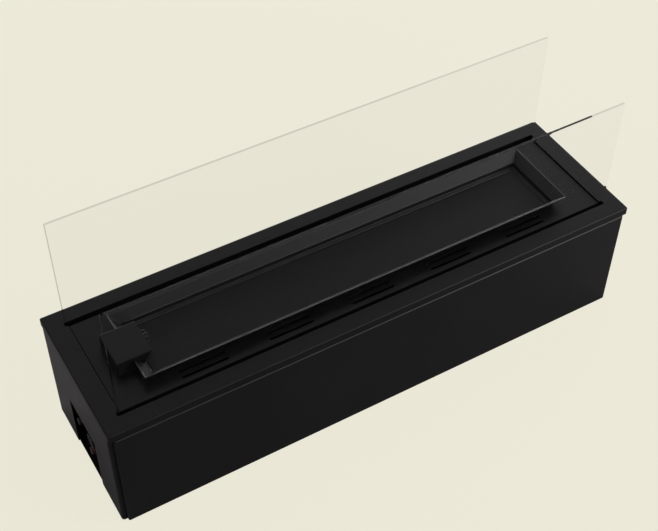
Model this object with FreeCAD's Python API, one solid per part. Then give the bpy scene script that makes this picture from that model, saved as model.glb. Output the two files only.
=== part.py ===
import FreeCAD, Part
import math
import os

from FreeCAD import Vector

# A linear patio gas heater: a folded sheet casing with a top frame, two panes of wind glass in long
# slots, a drop-in deck with a flared burner tray, a hooded pilot and the gas controls behind a notch.
# Millimetres. X runs along the casing, Y to the back, Z up. The origin is the centre of the base.

# Casing
frame_length = 982.6
frame_width = 271.4
frame_height = 228.6
sheet = 2.0
inner_sheet = 1.5
lip_height = 14.5
frame_bend = 2.5
end_border = 34.5
side_border = 29.2
corner_bend = 5.0
wall_setback = 5.1
wall_return = 27.0
seam = 0.3
panel_inset = 8.3
panel_proud = 1.7
panel_bend = 3.0
panel_lift = 0.2
notch_width = 101.0
notch_height = 113.0
floor_rise = 18.0
floor_notch_margin = 3.0
rail_drop = 36.0
rail_shelf = 8.0
angle_shelf = 16.0

# Wind glass
glass_thickness = 6.0
glass_above_frame = 222.5
glass_seat_depth = 27.5
glass_end_lap = 3.2
glass_end_clearance = 1.6
glass_side_clearance = 1.0
glass_chamfer = 0.7
channel_flange = 10.0
channel_ledge = 8.0
pad_length = 60.0
pad_thickness = 3.0
pad_pitch = 340.0
pad_count = 3

# Burner deck
deck_recess = 2.4
deck_glass_gap = 2.0
deck_end_gap = 1.6
deck_flange = 12.0
deck_flange_inset = 10.0
vent_length = 80.0
vent_width = 5.0
vent_pitch = 152.7
vent_count = 5
vent_edge_margin = 11.8
vent_row_pitch = 13.3

# Burner tray, plate and plenum
tray_end_margin = 53.9
tray_side_margin = 23.5
tray_rise = 17.6
flare_height = 15.2
tray_drop = 6.6
tray_clearance = 0.6
ledge_width = 6.0
flame_slot = 0.9
plenum_depth = 26.0
plenum_wall_gap = 1.0
spacer_radius = 4.0
spacer_mixer_gap = 35.8
spacer_columns = 3
spacer_inset = 20.0
hanger_end_gap = 32.0
hanger_flange = 9.0

# Mixer tube and injector
mixer_radius = 11.0
mixer_inset = 18.0
mixer_drop = 17.0
mixer_length = 72.0
mixer_outside = 22.0
bell_radius = 15.0
bell_length = 12.0
injector_gap = 4.0
injector_tip_radius = 4.0
injector_tip_length = 10.0
injector_stub_radius = 5.0
injector_stub_length = 9.0
injector_flats = 14.0
injector_hex_length = 8.0
injector_bracket_half_width = 13.0
injector_bracket_foot = 16.0
injector_bracket_margin = 9.0

# Pilot and its hood
hood_length = 60.0
hood_width = 68.0
hood_rise = 25.5
hood_reach = 32.0
hood_bend = 2.0
hood_slant = 12.7
hood_mouth_height = 6.0
hood_foot_length = 15.0
hood_foot_width = 9.0
pilot_opening_half_width = 22.0
pilot_opening_inset = 5.0
pilot_bracket_width = 12.0
pilot_bracket_lap = 8.0
pilot_height = 14.5
pilot_y = 5.0
electrode_y = -8.0
thermocouple_y = 16.0
pilot_tube_radius = 4.0
pilot_head_radius = 6.0
pilot_head_length = 13.0
pilot_head_reach = 9.5
pilot_slit_width = 1.2
electrode_ceramic_radius = 3.0
electrode_ceramic_length = 22.0
electrode_wire_radius = 1.0
thermocouple_radius = 2.5
thermocouple_collar_radius = 4.0
probe_tail = 5.0

# Gas controls behind the notch
control_setback = 16.0
control_plate_half_width = 62.0
control_plate_height = 109.6
control_plate_foot = 30.0
control_plate_return = 12.0
knob_y = -24.0
knob_height = 86.6
knob_radius = 13.5
knob_recess = 0.5
knob_length = 13.0
knob_flutes = 14
knob_flute_radius = 2.0
knob_flute_depth = 0.9
knob_crown = 1.0
knob_push = 3.5
spindle_radius = 4.0
spindle_grip = 8.5
bush_radius = 6.0
bush_length = 18.0
bush_gap = 0.5
boss_radius = 9.0
boss_proud = 0.5
bore_end_gap = 2.0
valve_length = 54.0
valve_width = 50.0
valve_depth = 40.0
valve_corner = 5.0
outlet_setback = 7.0
outlet_boss_radius = 6.0
port_boss_radius = 5.0
port_boss_height = 6.0
port_inset = 8.0
pilot_port_setback = 45.0
thermocouple_port_setback = 30.0
rear_boss_radius = 8.0
rear_boss_length = 8.0
magnet_radius = 10.0
magnet_length = 16.0
magnet_offset = 12.0
valve_screw_pitch = 38.0
screw_radius = 2.0
screw_head_radius = 3.5
screw_head_height = 2.4
screw_length = 12.0

# Igniter
igniter_y = 27.0
igniter_height = 79.6
igniter_radius = 9.0
igniter_collar_radius = 12.0
igniter_collar_length = 2.0
igniter_sleeve = 9.0
igniter_back = 42.0
igniter_nut_flats = 24.0
igniter_nut_length = 5.0
igniter_terminal_radius = 3.0
igniter_terminal_length = 8.0
button_radius = 6.5
button_length = 26.0
button_travel = 6.0
button_end_gap = 1.5
button_crown = 1.5

# Gas inlet and pipes
inlet_y = -17.0
inlet_height = 51.6
inlet_radius = 6.58
inlet_bore_radius = 4.0
inlet_bore_depth = 10.0
inlet_hex_flats = 22.0
inlet_hex_length = 5.0
inlet_tail = 10.0
locknut_flats = 21.0
locknut_length = 5.0
pipe_radius = 4.0
pipe_bend = 15.0
pipe_nut_flats = 14.0
pipe_nut_length = 9.0
inlet_loop = 38.0
pilot_pipe_radius = 2.0
pilot_pipe_bend = 9.0
pilot_pipe_climb = 40.0
small_nut_flats = 9.0
small_nut_length = 7.0
probe_lead_radius = 1.25
probe_lead_climb = 30.0
ignition_lead_radius = 1.75
ignition_lead_turn = 22.0
ignition_lead_climb = 45.0
lead_setback = 11.7

# Clearances
running_fit = 0.05
passing_fit = 0.1
touch_gap = 0.3

# Casing places
half_length = frame_length / 2
half_width = frame_width / 2
frame_under = frame_height - sheet
wall_top = frame_height - lip_height - seam
wall_y = half_width - wall_setback
wall_inner_x = half_length - sheet
wall_inner_y = wall_y - sheet
panel_face_y = half_width + panel_proud
opening_half_length = half_length - end_border
opening_half_width = half_width - side_border

# Glass places
glass_y = opening_half_width - glass_side_clearance - glass_thickness / 2
glass_half_length = opening_half_length + glass_end_lap
glass_top = frame_height + glass_above_frame
glass_bottom = frame_height - glass_seat_depth
slot_half_length = glass_half_length + glass_end_clearance
slot_inner_y = glass_y - glass_thickness / 2 - glass_side_clearance
channel_floor = glass_bottom - pad_thickness
channel_under = channel_floor - inner_sheet
channel_half_length = slot_half_length + inner_sheet

# Deck places
deck_half_length = opening_half_length - deck_end_gap
deck_half_width = glass_y - glass_thickness / 2 - deck_glass_gap
deck_top = frame_height - deck_recess
deck_under = deck_top - sheet

# Tray places: the rim, then the flare, then a short upright wall down to the ledge
rim_half_length = deck_half_length - tray_end_margin
rim_half_width = deck_half_width - tray_side_margin
rim_z = frame_height + tray_rise
flare_z = rim_z - flare_height
ledge_z = frame_height - tray_drop
ledge_under = ledge_z - inner_sheet
tray_wall_x = rim_half_length - flare_height
tray_wall_y = rim_half_width - flare_height
tray_inner_x = tray_wall_x - inner_sheet
tray_inner_y = tray_wall_y - inner_sheet
flame_edge_x = tray_inner_x - ledge_width
flame_edge_y = tray_inner_y - ledge_width
plate_half_length = flame_edge_x - flame_slot
plate_half_width = flame_edge_y - flame_slot

# Plenum places
plenum_inner_x = flame_edge_x + plenum_wall_gap
plenum_inner_y = flame_edge_y + plenum_wall_gap
plenum_bottom = ledge_under - plenum_depth
plenum_flange_under = ledge_under - inner_sheet
plenum_outer_x = plenum_inner_x + inner_sheet
plenum_outer_y = plenum_inner_y + inner_sheet

# Mixer and injector places, on one line along X
mixer_y = mixer_inset - plenum_inner_y
mixer_z = deck_under - mixer_drop
mixer_mouth_x = -plenum_outer_x - mixer_outside
mixer_end_x = mixer_mouth_x + mixer_length
injector_tip_x = mixer_mouth_x - injector_gap
injector_hex_x = injector_tip_x - injector_tip_length
injector_back_x = injector_hex_x - injector_hex_length
injector_stub_x = injector_back_x - inner_sheet - injector_stub_length

# Spacer places: the end columns stand clear of the mixer tube's inner end
spacer_end_x = mixer_end_x + spacer_mixer_gap + spacer_radius
spacer_pitch = -2 * spacer_end_x / (spacer_columns - 1)

# Hood and pilot places
hood_right = hood_reach - rim_half_length
hood_left = hood_right - hood_length
hood_half_width = hood_width / 2
hood_top = frame_height + hood_rise
pilot_z = frame_height + pilot_height
pilot_opening_left = hood_left + pilot_opening_inset
bracket_right = -rim_half_length + pilot_bracket_width / 3
bracket_left = bracket_right - pilot_bracket_width
upright_x = bracket_right - pilot_bracket_width / 3
pilot_head_right = hood_right + pilot_head_reach
pilot_back_x = upright_x - inner_sheet - probe_tail

# Control places, along X from the end wall inwards
wall_outer_left = -half_length
plate_front = -wall_inner_x + control_setback
plate_back = plate_front + inner_sheet
valve_y_low = knob_y - valve_width / 2
valve_y_high = knob_y + valve_width / 2
valve_bottom = knob_height - valve_depth / 2
valve_top = knob_height + valve_depth / 2
valve_back = plate_back + valve_length
boss_front = plate_front - boss_proud
knob_front = wall_outer_left + knob_recess
knob_back = knob_front + knob_length
bush_front = knob_back + bush_gap
bush_back = bush_front + bush_length
outlet_x = plate_back + outlet_setback
port_y = valve_y_high - port_inset
pilot_port_x = plate_back + pilot_port_setback
thermocouple_port_x = plate_back + thermocouple_port_setback
button_front = wall_outer_left + knob_recess
igniter_front = plate_front - igniter_sleeve
igniter_end = plate_front + igniter_back
inlet_front = wall_outer_left + knob_recess
inlet_tail_end = plate_back + inlet_tail


def box(x0, x1, y0, y1, z0, z1):
    """A block between two corners."""
    return Part.makeBox(x1 - x0, y1 - y0, z1 - z0, Vector(x0, y0, z0))


def block(half_x, half_y, z0, z1):
    """A block about the middle of the casing, between two heights."""
    return box(-half_x, half_x, -half_y, half_y, z0, z1)


def rod(start, end, radius):
    """A round bar between two points."""
    span = end - start
    return Part.makeCylinder(radius, span.Length, start, span)


def rod_x(x0, x1, y, z, radius):
    """A round bar along X."""
    return rod(Vector(x0, y, z), Vector(x1, y, z), radius)


def hex_bar(start, end, across_flats):
    """A hexagonal bar between two points."""
    span = end - start
    radius = across_flats / math.sqrt(3)
    angles = [math.radians(60 * step) for step in range(6)]
    corners = [Vector(radius * math.cos(angle), radius * math.sin(angle), 0) for angle in angles]
    bar = Part.Face(Part.makePolygon(corners + corners[:1])).extrude(Vector(0, 0, span.Length))
    bar.Placement = FreeCAD.Placement(start, FreeCAD.Rotation(Vector(0, 0, 1), span))
    return bar


def nut(start, end, across_flats, bore_radius):
    """A hexagonal nut with a plain hole."""
    return hex_bar(start, end, across_flats).cut(rod(start, end, bore_radius))


def prism_x(points_yz, x0, x1):
    """An outline in the YZ plane, drawn out along X."""
    corners = [Vector(x0, y, z) for y, z in points_yz]
    return Part.Face(Part.makePolygon(corners + corners[:1])).extrude(Vector(x1 - x0, 0, 0))


def prism_y(points_xz, y0, y1):
    """An outline in the XZ plane, drawn out along Y."""
    corners = [Vector(x, y0, z) for x, z in points_xz]
    return Part.Face(Part.makePolygon(corners + corners[:1])).extrude(Vector(0, y1 - y0, 0))


def revolve_x(points_xr, y, z):
    """An outline of (x, radius) points turned about a line along X."""
    corners = [Vector(x, y + radius, z) for x, radius in points_xr]
    face = Part.Face(Part.makePolygon(corners + corners[:1]))
    return face.revolve(Vector(0, y, z), Vector(1, 0, 0), 360)


def edges_in_plane(shape, axis, value):
    """Edges that lie wholly where one coordinate has the given value."""
    picked = []
    for edge in shape.Edges:
        points = [edge.valueAt(edge.FirstParameter), edge.valueAt(edge.LastParameter)]
        if all(abs(getattr(point, axis) - value) < 0.001 for point in points):
            picked.append(edge)
    return picked


def edges_along(shape, axis):
    """Straight edges that run parallel to one axis."""
    others = [name for name in ("x", "y", "z") if name != axis]
    picked = []
    for edge in shape.Edges:
        span = edge.valueAt(edge.LastParameter) - edge.valueAt(edge.FirstParameter)
        if all(abs(getattr(span, name)) < 0.001 for name in others):
            picked.append(edge)
    return picked


def mirrored(shape, normal):
    """The same shape on the other side of the middle plane with the given normal."""
    return shape.mirror(Vector(0, 0, 0), normal)


def to_back(shape):
    """The same shape at the back of the casing."""
    return mirrored(shape, Vector(0, 1, 0))


def to_right(shape):
    """The same shape at the right end of the casing."""
    return mirrored(shape, Vector(1, 0, 0))


def fused(shapes):
    """One solid from touching shapes, without the seams between flush faces."""
    return shapes[0].fuse(shapes[1:]).removeSplitter()


def evenly(count, pitch):
    """Places of a row of things that is centred on zero."""
    return [(step - (count - 1) / 2) * pitch for step in range(count)]


def bent_tube(points, radius, bend):
    """A round tube along straight runs, with a tangent arc of one radius at every turn."""
    edges = []
    start = points[0]
    for before, corner, after in zip(points, points[1:], points[2:]):
        back = (before - corner).normalize()
        ahead = (after - corner).normalize()
        half_turn = (math.pi - back.getAngle(ahead)) / 2
        reach = bend * math.tan(half_turn)
        centre_way = (back + ahead).normalize()
        middle = corner + centre_way * (bend / math.cos(half_turn) - bend)
        arc_start = corner + back * reach
        arc_end = corner + ahead * reach
        edges.append(Part.makeLine(start, arc_start))
        edges.append(Part.Arc(arc_start, middle, arc_end).toShape())
        start = arc_end
    edges.append(Part.makeLine(start, points[-1]))
    path = Part.Wire(edges)
    section = Part.Wire(Part.makeCircle(radius, points[0], points[1] - points[0]))
    return path.makePipeShell([section], True, False)


def rectangle(half_x, half_y, z):
    """A level rectangle about the middle of the casing."""
    corners = [
        Vector(-half_x, -half_y, z),
        Vector(half_x, -half_y, z),
        Vector(half_x, half_y, z),
        Vector(-half_x, half_y, z),
    ]
    return Part.makePolygon(corners + corners[:1])


# Casing


def make_top_frame():
    """A flat frame with a lip turned down all round and a glass slot along each side of its opening."""
    outer = block(half_length, half_width, wall_top + seam, frame_height)
    outer = outer.makeFillet(frame_bend, edges_along(outer, "z") + edges_in_plane(outer, "z", frame_height))
    frame = outer.cut(block(half_length - sheet, half_width - sheet, 0, frame_under))
    through = (frame_under - sheet, frame_height + sheet)
    opening = block(opening_half_length, opening_half_width, *through)
    slot = box(-slot_half_length, slot_half_length, -opening_half_width, -deck_half_width, *through)
    return frame.cut([opening, slot, to_back(slot)])


def make_end_wall():
    """The plain left end: a wall with a bent return at each side."""
    outer = box(-half_length, wall_return - half_length, -wall_y, wall_y, 0, wall_top)
    corners = [edge for edge in edges_along(outer, "z") if edge.CenterOfMass.x < 1 - half_length]
    outer = outer.makeFillet(corner_bend, corners)
    inner = box(-wall_inner_x, wall_return + sheet - half_length, -wall_inner_y, wall_inner_y, 0, wall_top)
    corners = [edge for edge in edges_along(inner, "z") if edge.CenterOfMass.x < 1 - wall_inner_x]
    return outer.cut(inner.makeFillet(corner_bend - sheet, corners))


def make_left_end_wall():
    """The end wall with the service notch, open at its foot."""
    half_notch = notch_width / 2
    notch = box(-half_length - sheet, sheet - wall_inner_x, -half_notch, half_notch, -sheet, notch_height)
    notch = notch.makeFillet(sheet, [edge for edge in edges_along(notch, "x") if edge.CenterOfMass.z > 0])
    return make_end_wall().cut(notch)


def make_front_panel():
    """A shallow pan whose rounded edges turn back onto the end walls' returns."""
    span = half_length - panel_inset
    outer = box(-span, span, -panel_face_y, -wall_y, panel_lift, wall_top)
    outer = outer.makeFillet(panel_bend, edges_along(outer, "y") + edges_in_plane(outer, "y", -panel_face_y))
    inner = box(
        inner_sheet - span,
        span - inner_sheet,
        inner_sheet - panel_face_y,
        -wall_y,
        panel_lift + inner_sheet,
        wall_top - inner_sheet,
    )
    bends = edges_along(inner, "y") + edges_in_plane(inner, "y", inner_sheet - panel_face_y)
    return outer.cut(inner.makeFillet(panel_bend - inner_sheet, bends))


def make_floor_plate():
    """A tray between the walls, with its edge cut away at the service notch."""
    outer = block(wall_inner_x, wall_inner_y, 0, floor_rise)
    outer = outer.makeFillet(corner_bend, edges_along(outer, "z"))
    inner = block(wall_inner_x - sheet, wall_inner_y - sheet, sheet, floor_rise)
    inner = inner.makeFillet(corner_bend - sheet, edges_along(inner, "z"))
    clear_y = notch_width / 2 + floor_notch_margin
    gap = box(-half_length, 2 * sheet - wall_inner_x, -clear_y, clear_y, sheet, floor_rise)
    return outer.cut([inner, gap])


def make_left_frame_angle():
    """An angle along the end wall that carries the end of the top frame."""
    reach_y = wall_inner_y - corner_bend
    sides = (-reach_y, reach_y)
    leg = box(-wall_inner_x, sheet - wall_inner_x, *sides, frame_under - rail_drop, frame_under)
    shelf = box(-wall_inner_x, angle_shelf - wall_inner_x, *sides, frame_under - sheet, frame_under)
    return fused([leg, shelf])


def make_front_frame_rail():
    """A rail between the end walls' returns that carries the long side of the top frame."""
    leg_x = wall_inner_x - corner_bend
    shelf_x = wall_inner_x - angle_shelf - sheet
    leg_inner_y = wall_inner_y - sheet
    leg = box(-leg_x, leg_x, -wall_inner_y, -leg_inner_y, frame_under - rail_drop, frame_under)
    shelf_y = leg_inner_y - rail_shelf
    shelf = box(-shelf_x, shelf_x, -leg_inner_y, -shelf_y, frame_under - sheet, frame_under)
    return fused([leg, shelf])


# Wind glass


def make_front_glass():
    """A pane of wind glass with arrised edges, standing in its slot."""
    near_y = -glass_y - glass_thickness / 2
    far_y = near_y + glass_thickness
    pane = box(-glass_half_length, glass_half_length, near_y, far_y, glass_bottom, glass_top)
    rims = edges_in_plane(pane, "y", near_y) + edges_in_plane(pane, "y", far_y)
    return pane.makeChamfer(glass_chamfer, rims)


def make_front_glass_channel():
    """A shallow channel under the slot, whose lips keep the pads in line."""
    outer_y = -opening_half_width
    outline = [
        (outer_y - inner_sheet, glass_bottom),
        (outer_y, glass_bottom),
        (outer_y, channel_floor),
        (-slot_inner_y, channel_floor),
        (-slot_inner_y, glass_bottom),
        (inner_sheet - slot_inner_y, glass_bottom),
        (inner_sheet - slot_inner_y, channel_under),
        (outer_y - inner_sheet, channel_under),
    ]
    return prism_x(outline, -channel_half_length, channel_half_length)


def make_front_outer_glass_strip():
    """An angle that hangs from the frame outside the slot and laps the channel's outer lip."""
    web_y = -opening_half_width - inner_sheet
    flange_y = -opening_half_width - channel_flange
    outline = [
        (flange_y, frame_under),
        (web_y, frame_under),
        (web_y, channel_under),
        (web_y - inner_sheet, channel_under),
        (web_y - inner_sheet, frame_under - inner_sheet),
        (flange_y, frame_under - inner_sheet),
    ]
    return prism_x(outline, -channel_half_length, channel_half_length)


def make_front_inner_glass_strip():
    """An angle that laps the channel's inner lip and carries the deck on its ledge."""
    web_y = inner_sheet - slot_inner_y
    ledge_y = channel_ledge - slot_inner_y
    outline = [
        (web_y, deck_under),
        (ledge_y, deck_under),
        (ledge_y, deck_under - inner_sheet),
        (web_y + inner_sheet, deck_under - inner_sheet),
        (web_y + inner_sheet, channel_under),
        (web_y, channel_under),
    ]
    return prism_x(outline, -channel_half_length, channel_half_length)


def make_glass_end_stops():
    """Upright plates that close the ends of both channels."""
    stop_top = deck_under - inner_sheet
    sides = (-opening_half_width, -slot_inner_y)
    stop = box(slot_half_length, channel_half_length, *sides, channel_floor, stop_top)
    stops = [stop, to_right(stop)]
    return Part.makeCompound(stops + [to_back(shape) for shape in stops])


def make_front_glass_pads():
    """Resilient pads in the channel, on which the pane stands."""
    sides = (touch_gap - opening_half_width, -touch_gap - slot_inner_y)
    half = pad_length / 2
    pads = []
    for x in evenly(pad_count, pad_pitch):
        pads.append(box(x - half, x + half, *sides, channel_floor, glass_bottom))
    return Part.makeCompound(pads)


# Burner


def make_vent(x, y):
    """The cutter for one round-ended vent slot."""
    radius = vent_width / 2
    run = vent_length / 2 - radius
    low = deck_under - sheet
    high = deck_top + sheet
    ends = [rod(Vector(end, y, low), Vector(end, y, high), radius) for end in (x - run, x + run)]
    return fused([box(x - run, x + run, y - radius, y + radius, low, high)] + ends)


def hood_screw_places():
    """Where the screws go through the hood's feet."""
    x = hood_left + inner_sheet + hood_foot_length / 2
    y = hood_half_width - inner_sheet - hood_foot_width / 2
    return [(x, -y), (x, y)]


def make_burner_deck():
    """The drop-in deck, with pairs of vent slots, the tray's cut-out and the opening under the hood."""
    plate = block(deck_half_length, deck_half_width, deck_under, deck_top)
    end_y = deck_half_width - deck_flange_inset
    flange_low = deck_top - deck_flange
    end_flange = box(-deck_half_length, sheet - deck_half_length, -end_y, end_y, flange_low, deck_top)
    deck = fused([plate, end_flange, to_right(end_flange)])
    through = (deck_under - sheet, deck_top + sheet)
    pilot_sides = (-pilot_opening_half_width, pilot_opening_half_width)
    cutters = [
        block(tray_wall_x + tray_clearance, tray_wall_y + tray_clearance, *through),
        box(pilot_opening_left, -tray_wall_x, *pilot_sides, *through),
    ]
    for row in range(2):
        row_y = deck_half_width - vent_edge_margin - row * vent_row_pitch
        for x in evenly(vent_count, vent_pitch):
            cutters += [make_vent(x, -row_y), make_vent(x, row_y)]
    for x, y in hood_screw_places():
        cutters.append(rod(Vector(x, y, through[0]), Vector(x, y, through[1]), screw_radius + passing_fit))
    return deck.cut(cutters)


def make_burner_tray():
    """A flared tray with mitred corners, a short upright wall and a ledge round the flame slot."""
    slope_width = inner_sheet * math.sqrt(2)
    inner_flare_z = flare_z + slope_width - inner_sheet
    outer_foot = rectangle(tray_wall_x, tray_wall_y, flare_z)
    outer_rim = rectangle(rim_half_length, rim_half_width, rim_z)
    outer_wall = block(tray_wall_x, tray_wall_y, ledge_under, flare_z)
    outer = fused([outer_wall, Part.makeLoft([outer_foot, outer_rim], True, True)])
    overshoot = sheet - slope_width
    inner_foot = rectangle(tray_inner_x, tray_inner_y, inner_flare_z)
    inner_rim = rectangle(rim_half_length + overshoot, rim_half_width + overshoot, rim_z + sheet)
    inner_wall = block(tray_inner_x, tray_inner_y, ledge_z, inner_flare_z)
    hollow = fused([inner_wall, Part.makeLoft([inner_foot, inner_rim], True, True)])
    flame_opening = block(flame_edge_x, flame_edge_y, ledge_under, ledge_z)
    gap_y = hood_half_width + touch_gap
    hood_gap = box(-rim_half_length, sheet - tray_inner_x, -gap_y, gap_y, flare_z, rim_z)
    return outer.cut([hollow, flame_opening, hood_gap])


def make_burner_plate():
    """The plain plate in the tray; the gas burns along the slot round its edge."""
    return block(plate_half_length, plate_half_width, ledge_z - sheet, ledge_z)


def make_plate_spacers():
    """Posts in the plenum that carry the burner plate."""
    post_y = plate_half_width - spacer_inset
    posts = []
    for x in evenly(spacer_columns, spacer_pitch):
        for y in (-post_y, post_y):
            foot = Vector(x, y, plenum_bottom + inner_sheet)
            posts.append(rod(foot, Vector(x, y, ledge_z - sheet), spacer_radius))
    return Part.makeCompound(posts)


def make_burner_plenum():
    """The gas box under the plate, with a flange against the tray's ledge and a hole for the mixer tube."""
    walls = block(plenum_outer_x, plenum_outer_y, plenum_bottom, ledge_under)
    flange = block(tray_wall_x, tray_wall_y, plenum_flange_under, ledge_under)
    hollow = block(plenum_inner_x, plenum_inner_y, plenum_bottom + inner_sheet, ledge_under)
    port_radius = mixer_radius + passing_fit
    port = rod_x(-plenum_outer_x, sheet - plenum_inner_x, mixer_y, mixer_z, port_radius)
    return fused([walls, flange]).cut([hollow, port])


def make_front_burner_hanger():
    """A folded rail that hangs the tray and plenum from the underside of the deck."""
    web_y = tray_wall_y + tray_clearance
    hook_y = plenum_outer_y + tray_clearance
    low = plenum_flange_under - inner_sheet
    outline = [
        (-hook_y, plenum_flange_under),
        (-web_y, plenum_flange_under),
        (-web_y, deck_under),
        (-web_y - hanger_flange, deck_under),
        (-web_y - hanger_flange, deck_under - inner_sheet),
        (-web_y - inner_sheet, deck_under - inner_sheet),
        (-web_y - inner_sheet, low),
        (-hook_y, low),
    ]
    reach = rim_half_length - hanger_end_gap
    return prism_x(outline, -reach, reach)


def make_mixer_tube():
    """A tube with a bell mouth, through the plenum's end wall."""
    inner = mixer_radius - inner_sheet
    neck_x = mixer_mouth_x + bell_length
    outline = [
        (mixer_mouth_x, bell_radius - inner_sheet),
        (mixer_mouth_x, bell_radius),
        (neck_x, mixer_radius),
        (mixer_end_x, mixer_radius),
        (mixer_end_x, inner),
        (neck_x, inner),
    ]
    return revolve_x(outline, mixer_y, mixer_z)


def make_injector():
    """A gas jet: pointed tip, hexagon against its bracket and a stub for the pipe nut."""
    tip = revolve_x(
        [
            (injector_hex_x, 0),
            (injector_hex_x, injector_tip_radius),
            (injector_tip_x, injector_tip_radius / 2),
            (injector_tip_x, 0),
        ],
        mixer_y,
        mixer_z,
    )
    line = [Vector(x, mixer_y, mixer_z) for x in (injector_back_x, injector_hex_x)]
    stub = rod_x(injector_stub_x, injector_back_x, mixer_y, mixer_z, injector_stub_radius)
    return fused([hex_bar(line[0], line[1], injector_flats), stub, tip])


def make_injector_bracket():
    """An angle under the deck that holds the injector in line with the mixer tube."""
    front = injector_back_x - inner_sheet
    side = (mixer_y - injector_bracket_half_width, mixer_y + injector_bracket_half_width)
    low = mixer_z - injector_stub_radius - injector_bracket_margin
    plate = box(front, injector_back_x, *side, low, deck_under)
    foot = box(front - injector_bracket_foot, front, *side, deck_under - inner_sheet, deck_under)
    hole = rod_x(front, injector_back_x, mixer_y, mixer_z, injector_stub_radius + passing_fit)
    return fused([plate, foot]).cut(hole)


# Pilot


def make_pilot_hood():
    """A bent cover over the pilot, open towards the burner, with slanted cheeks and two inner feet."""
    step_x = -tray_wall_x - tray_clearance
    step_z = flare_z + tray_clearance
    mouth_x = hood_right - hood_slant
    mouth_z = max(frame_height + hood_mouth_height, step_z + touch_gap)
    outline = [
        (hood_left, deck_top),
        (step_x, deck_top),
        (step_x, step_z),
        (mouth_x, step_z),
        (mouth_x, mouth_z),
        (hood_right, hood_top),
        (hood_left, hood_top),
    ]
    outer = prism_y(outline, -hood_half_width, hood_half_width)
    bends = edges_in_plane(outer, "x", hood_left) + edges_in_plane(outer, "z", hood_top)
    bends = [edge for edge in bends if edge.CenterOfMass.z > deck_top and edge.CenterOfMass.x < hood_right]
    unique = {edge.hashCode(): edge for edge in bends}
    outer = outer.makeFillet(hood_bend, list(unique.values()))
    inner_y = hood_half_width - inner_sheet
    inner_left = hood_left + inner_sheet
    inner = box(inner_left, hood_right + sheet, -inner_y, inner_y, deck_top, hood_top - inner_sheet)
    foot_y = inner_y - hood_foot_width
    foot_top = deck_top + inner_sheet
    foot = box(inner_left, inner_left + hood_foot_length, -inner_y, -foot_y, deck_top, foot_top)
    hood = fused([outer.cut(inner), foot, to_back(foot)])
    holes = []
    for x, y in hood_screw_places():
        holes.append(rod(Vector(x, y, deck_top), Vector(x, y, foot_top), screw_radius + passing_fit))
    return hood.cut(holes)


def make_hood_screws():
    """Screws down through the hood's feet into the deck."""
    screws = []
    for x, y in hood_screw_places():
        seat = deck_top + inner_sheet
        head = rod(Vector(x, y, seat), Vector(x, y, seat + screw_head_height), screw_head_radius)
        shank = rod(Vector(x, y, seat - screw_length), Vector(x, y, seat), screw_radius)
        screws.append(fused([head, shank]))
    return Part.makeCompound(screws)


def make_pilot_bracket():
    """A strip across the deck's opening with an upright that holds the pilot, electrode and probe."""
    reach = pilot_opening_half_width + pilot_bracket_lap
    foot_top = deck_top + inner_sheet
    foot = box(bracket_left, bracket_right, -reach, reach, deck_top, foot_top)
    tall = pilot_z + electrode_ceramic_radius + pilot_tube_radius
    half = pilot_opening_half_width
    upright = box(upright_x - inner_sheet, upright_x, -half, half, foot_top, tall)
    holes = []
    for y, radius in (
        (pilot_y, pilot_tube_radius),
        (electrode_y, electrode_ceramic_radius),
        (thermocouple_y, thermocouple_radius),
    ):
        holes.append(rod_x(upright_x - sheet, upright_x + sheet, y, pilot_z, radius + passing_fit))
    return fused([foot, upright]).cut(holes)


def make_pilot_burner():
    """The pilot: a tube with a wider head that is slit across its mouth."""
    head_x = pilot_head_right - pilot_head_length
    tube = rod_x(pilot_back_x, head_x, pilot_y, pilot_z, pilot_tube_radius)
    head = rod_x(head_x, pilot_head_right, pilot_y, pilot_z, pilot_head_radius)
    mouth = rod_x(head_x + inner_sheet, pilot_head_right, pilot_y, pilot_z, pilot_head_radius - inner_sheet)
    slit_half = pilot_slit_width / 2
    slit_x = head_x + pilot_head_length / 2
    tall = (pilot_z - pilot_head_radius, pilot_z + pilot_head_radius)
    wide = (pilot_y - pilot_head_radius, pilot_y + pilot_head_radius)
    slit_a = box(slit_x, pilot_head_right, pilot_y - slit_half, pilot_y + slit_half, *tall)
    slit_b = box(slit_x, pilot_head_right, *wide, pilot_z - slit_half, pilot_z + slit_half)
    return fused([tube, head]).cut([mouth, slit_a, slit_b])


def make_ignition_electrode():
    """A ceramic sleeve with a wire whose tip is bent towards the pilot head."""
    sleeve_back = upright_x - inner_sheet - probe_tail / 2
    sleeve_end = sleeve_back + electrode_ceramic_length
    sleeve = rod_x(sleeve_back, sleeve_end, electrode_y, pilot_z, electrode_ceramic_radius)
    bend_x = pilot_head_right - pilot_head_length / 2
    tip_y = pilot_y - pilot_head_radius - 2 * electrode_wire_radius
    wire = bent_tube(
        [
            Vector(sleeve_end, electrode_y, pilot_z),
            Vector(bend_x, electrode_y, pilot_z),
            Vector(pilot_head_right, tip_y, pilot_z),
        ],
        electrode_wire_radius,
        3 * electrode_wire_radius,
    )
    return fused([sleeve, wire])


def make_thermocouple():
    """The flame probe, with a collar against the bracket."""
    probe = rod_x(pilot_back_x, pilot_head_right, thermocouple_y, pilot_z, thermocouple_radius)
    tip = edges_in_plane(probe, "x", pilot_head_right)
    probe = probe.makeFillet(thermocouple_radius / 2, tip)
    collar = rod_x(upright_x, upright_x + probe_tail, thermocouple_y, pilot_z, thermocouple_collar_radius)
    return fused([probe, collar])


def rising_route(start, climb, under_x, y, end_x):
    """A route from a port straight up, across under the deck's opening, up again and over to the pilot."""
    cross_z = start.z + climb
    join_z = plenum_bottom
    return [
        start,
        Vector(start.x, start.y, cross_z),
        Vector(under_x, y, join_z),
        Vector(under_x, y, pilot_z),
        Vector(end_x, y, pilot_z),
    ]


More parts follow.
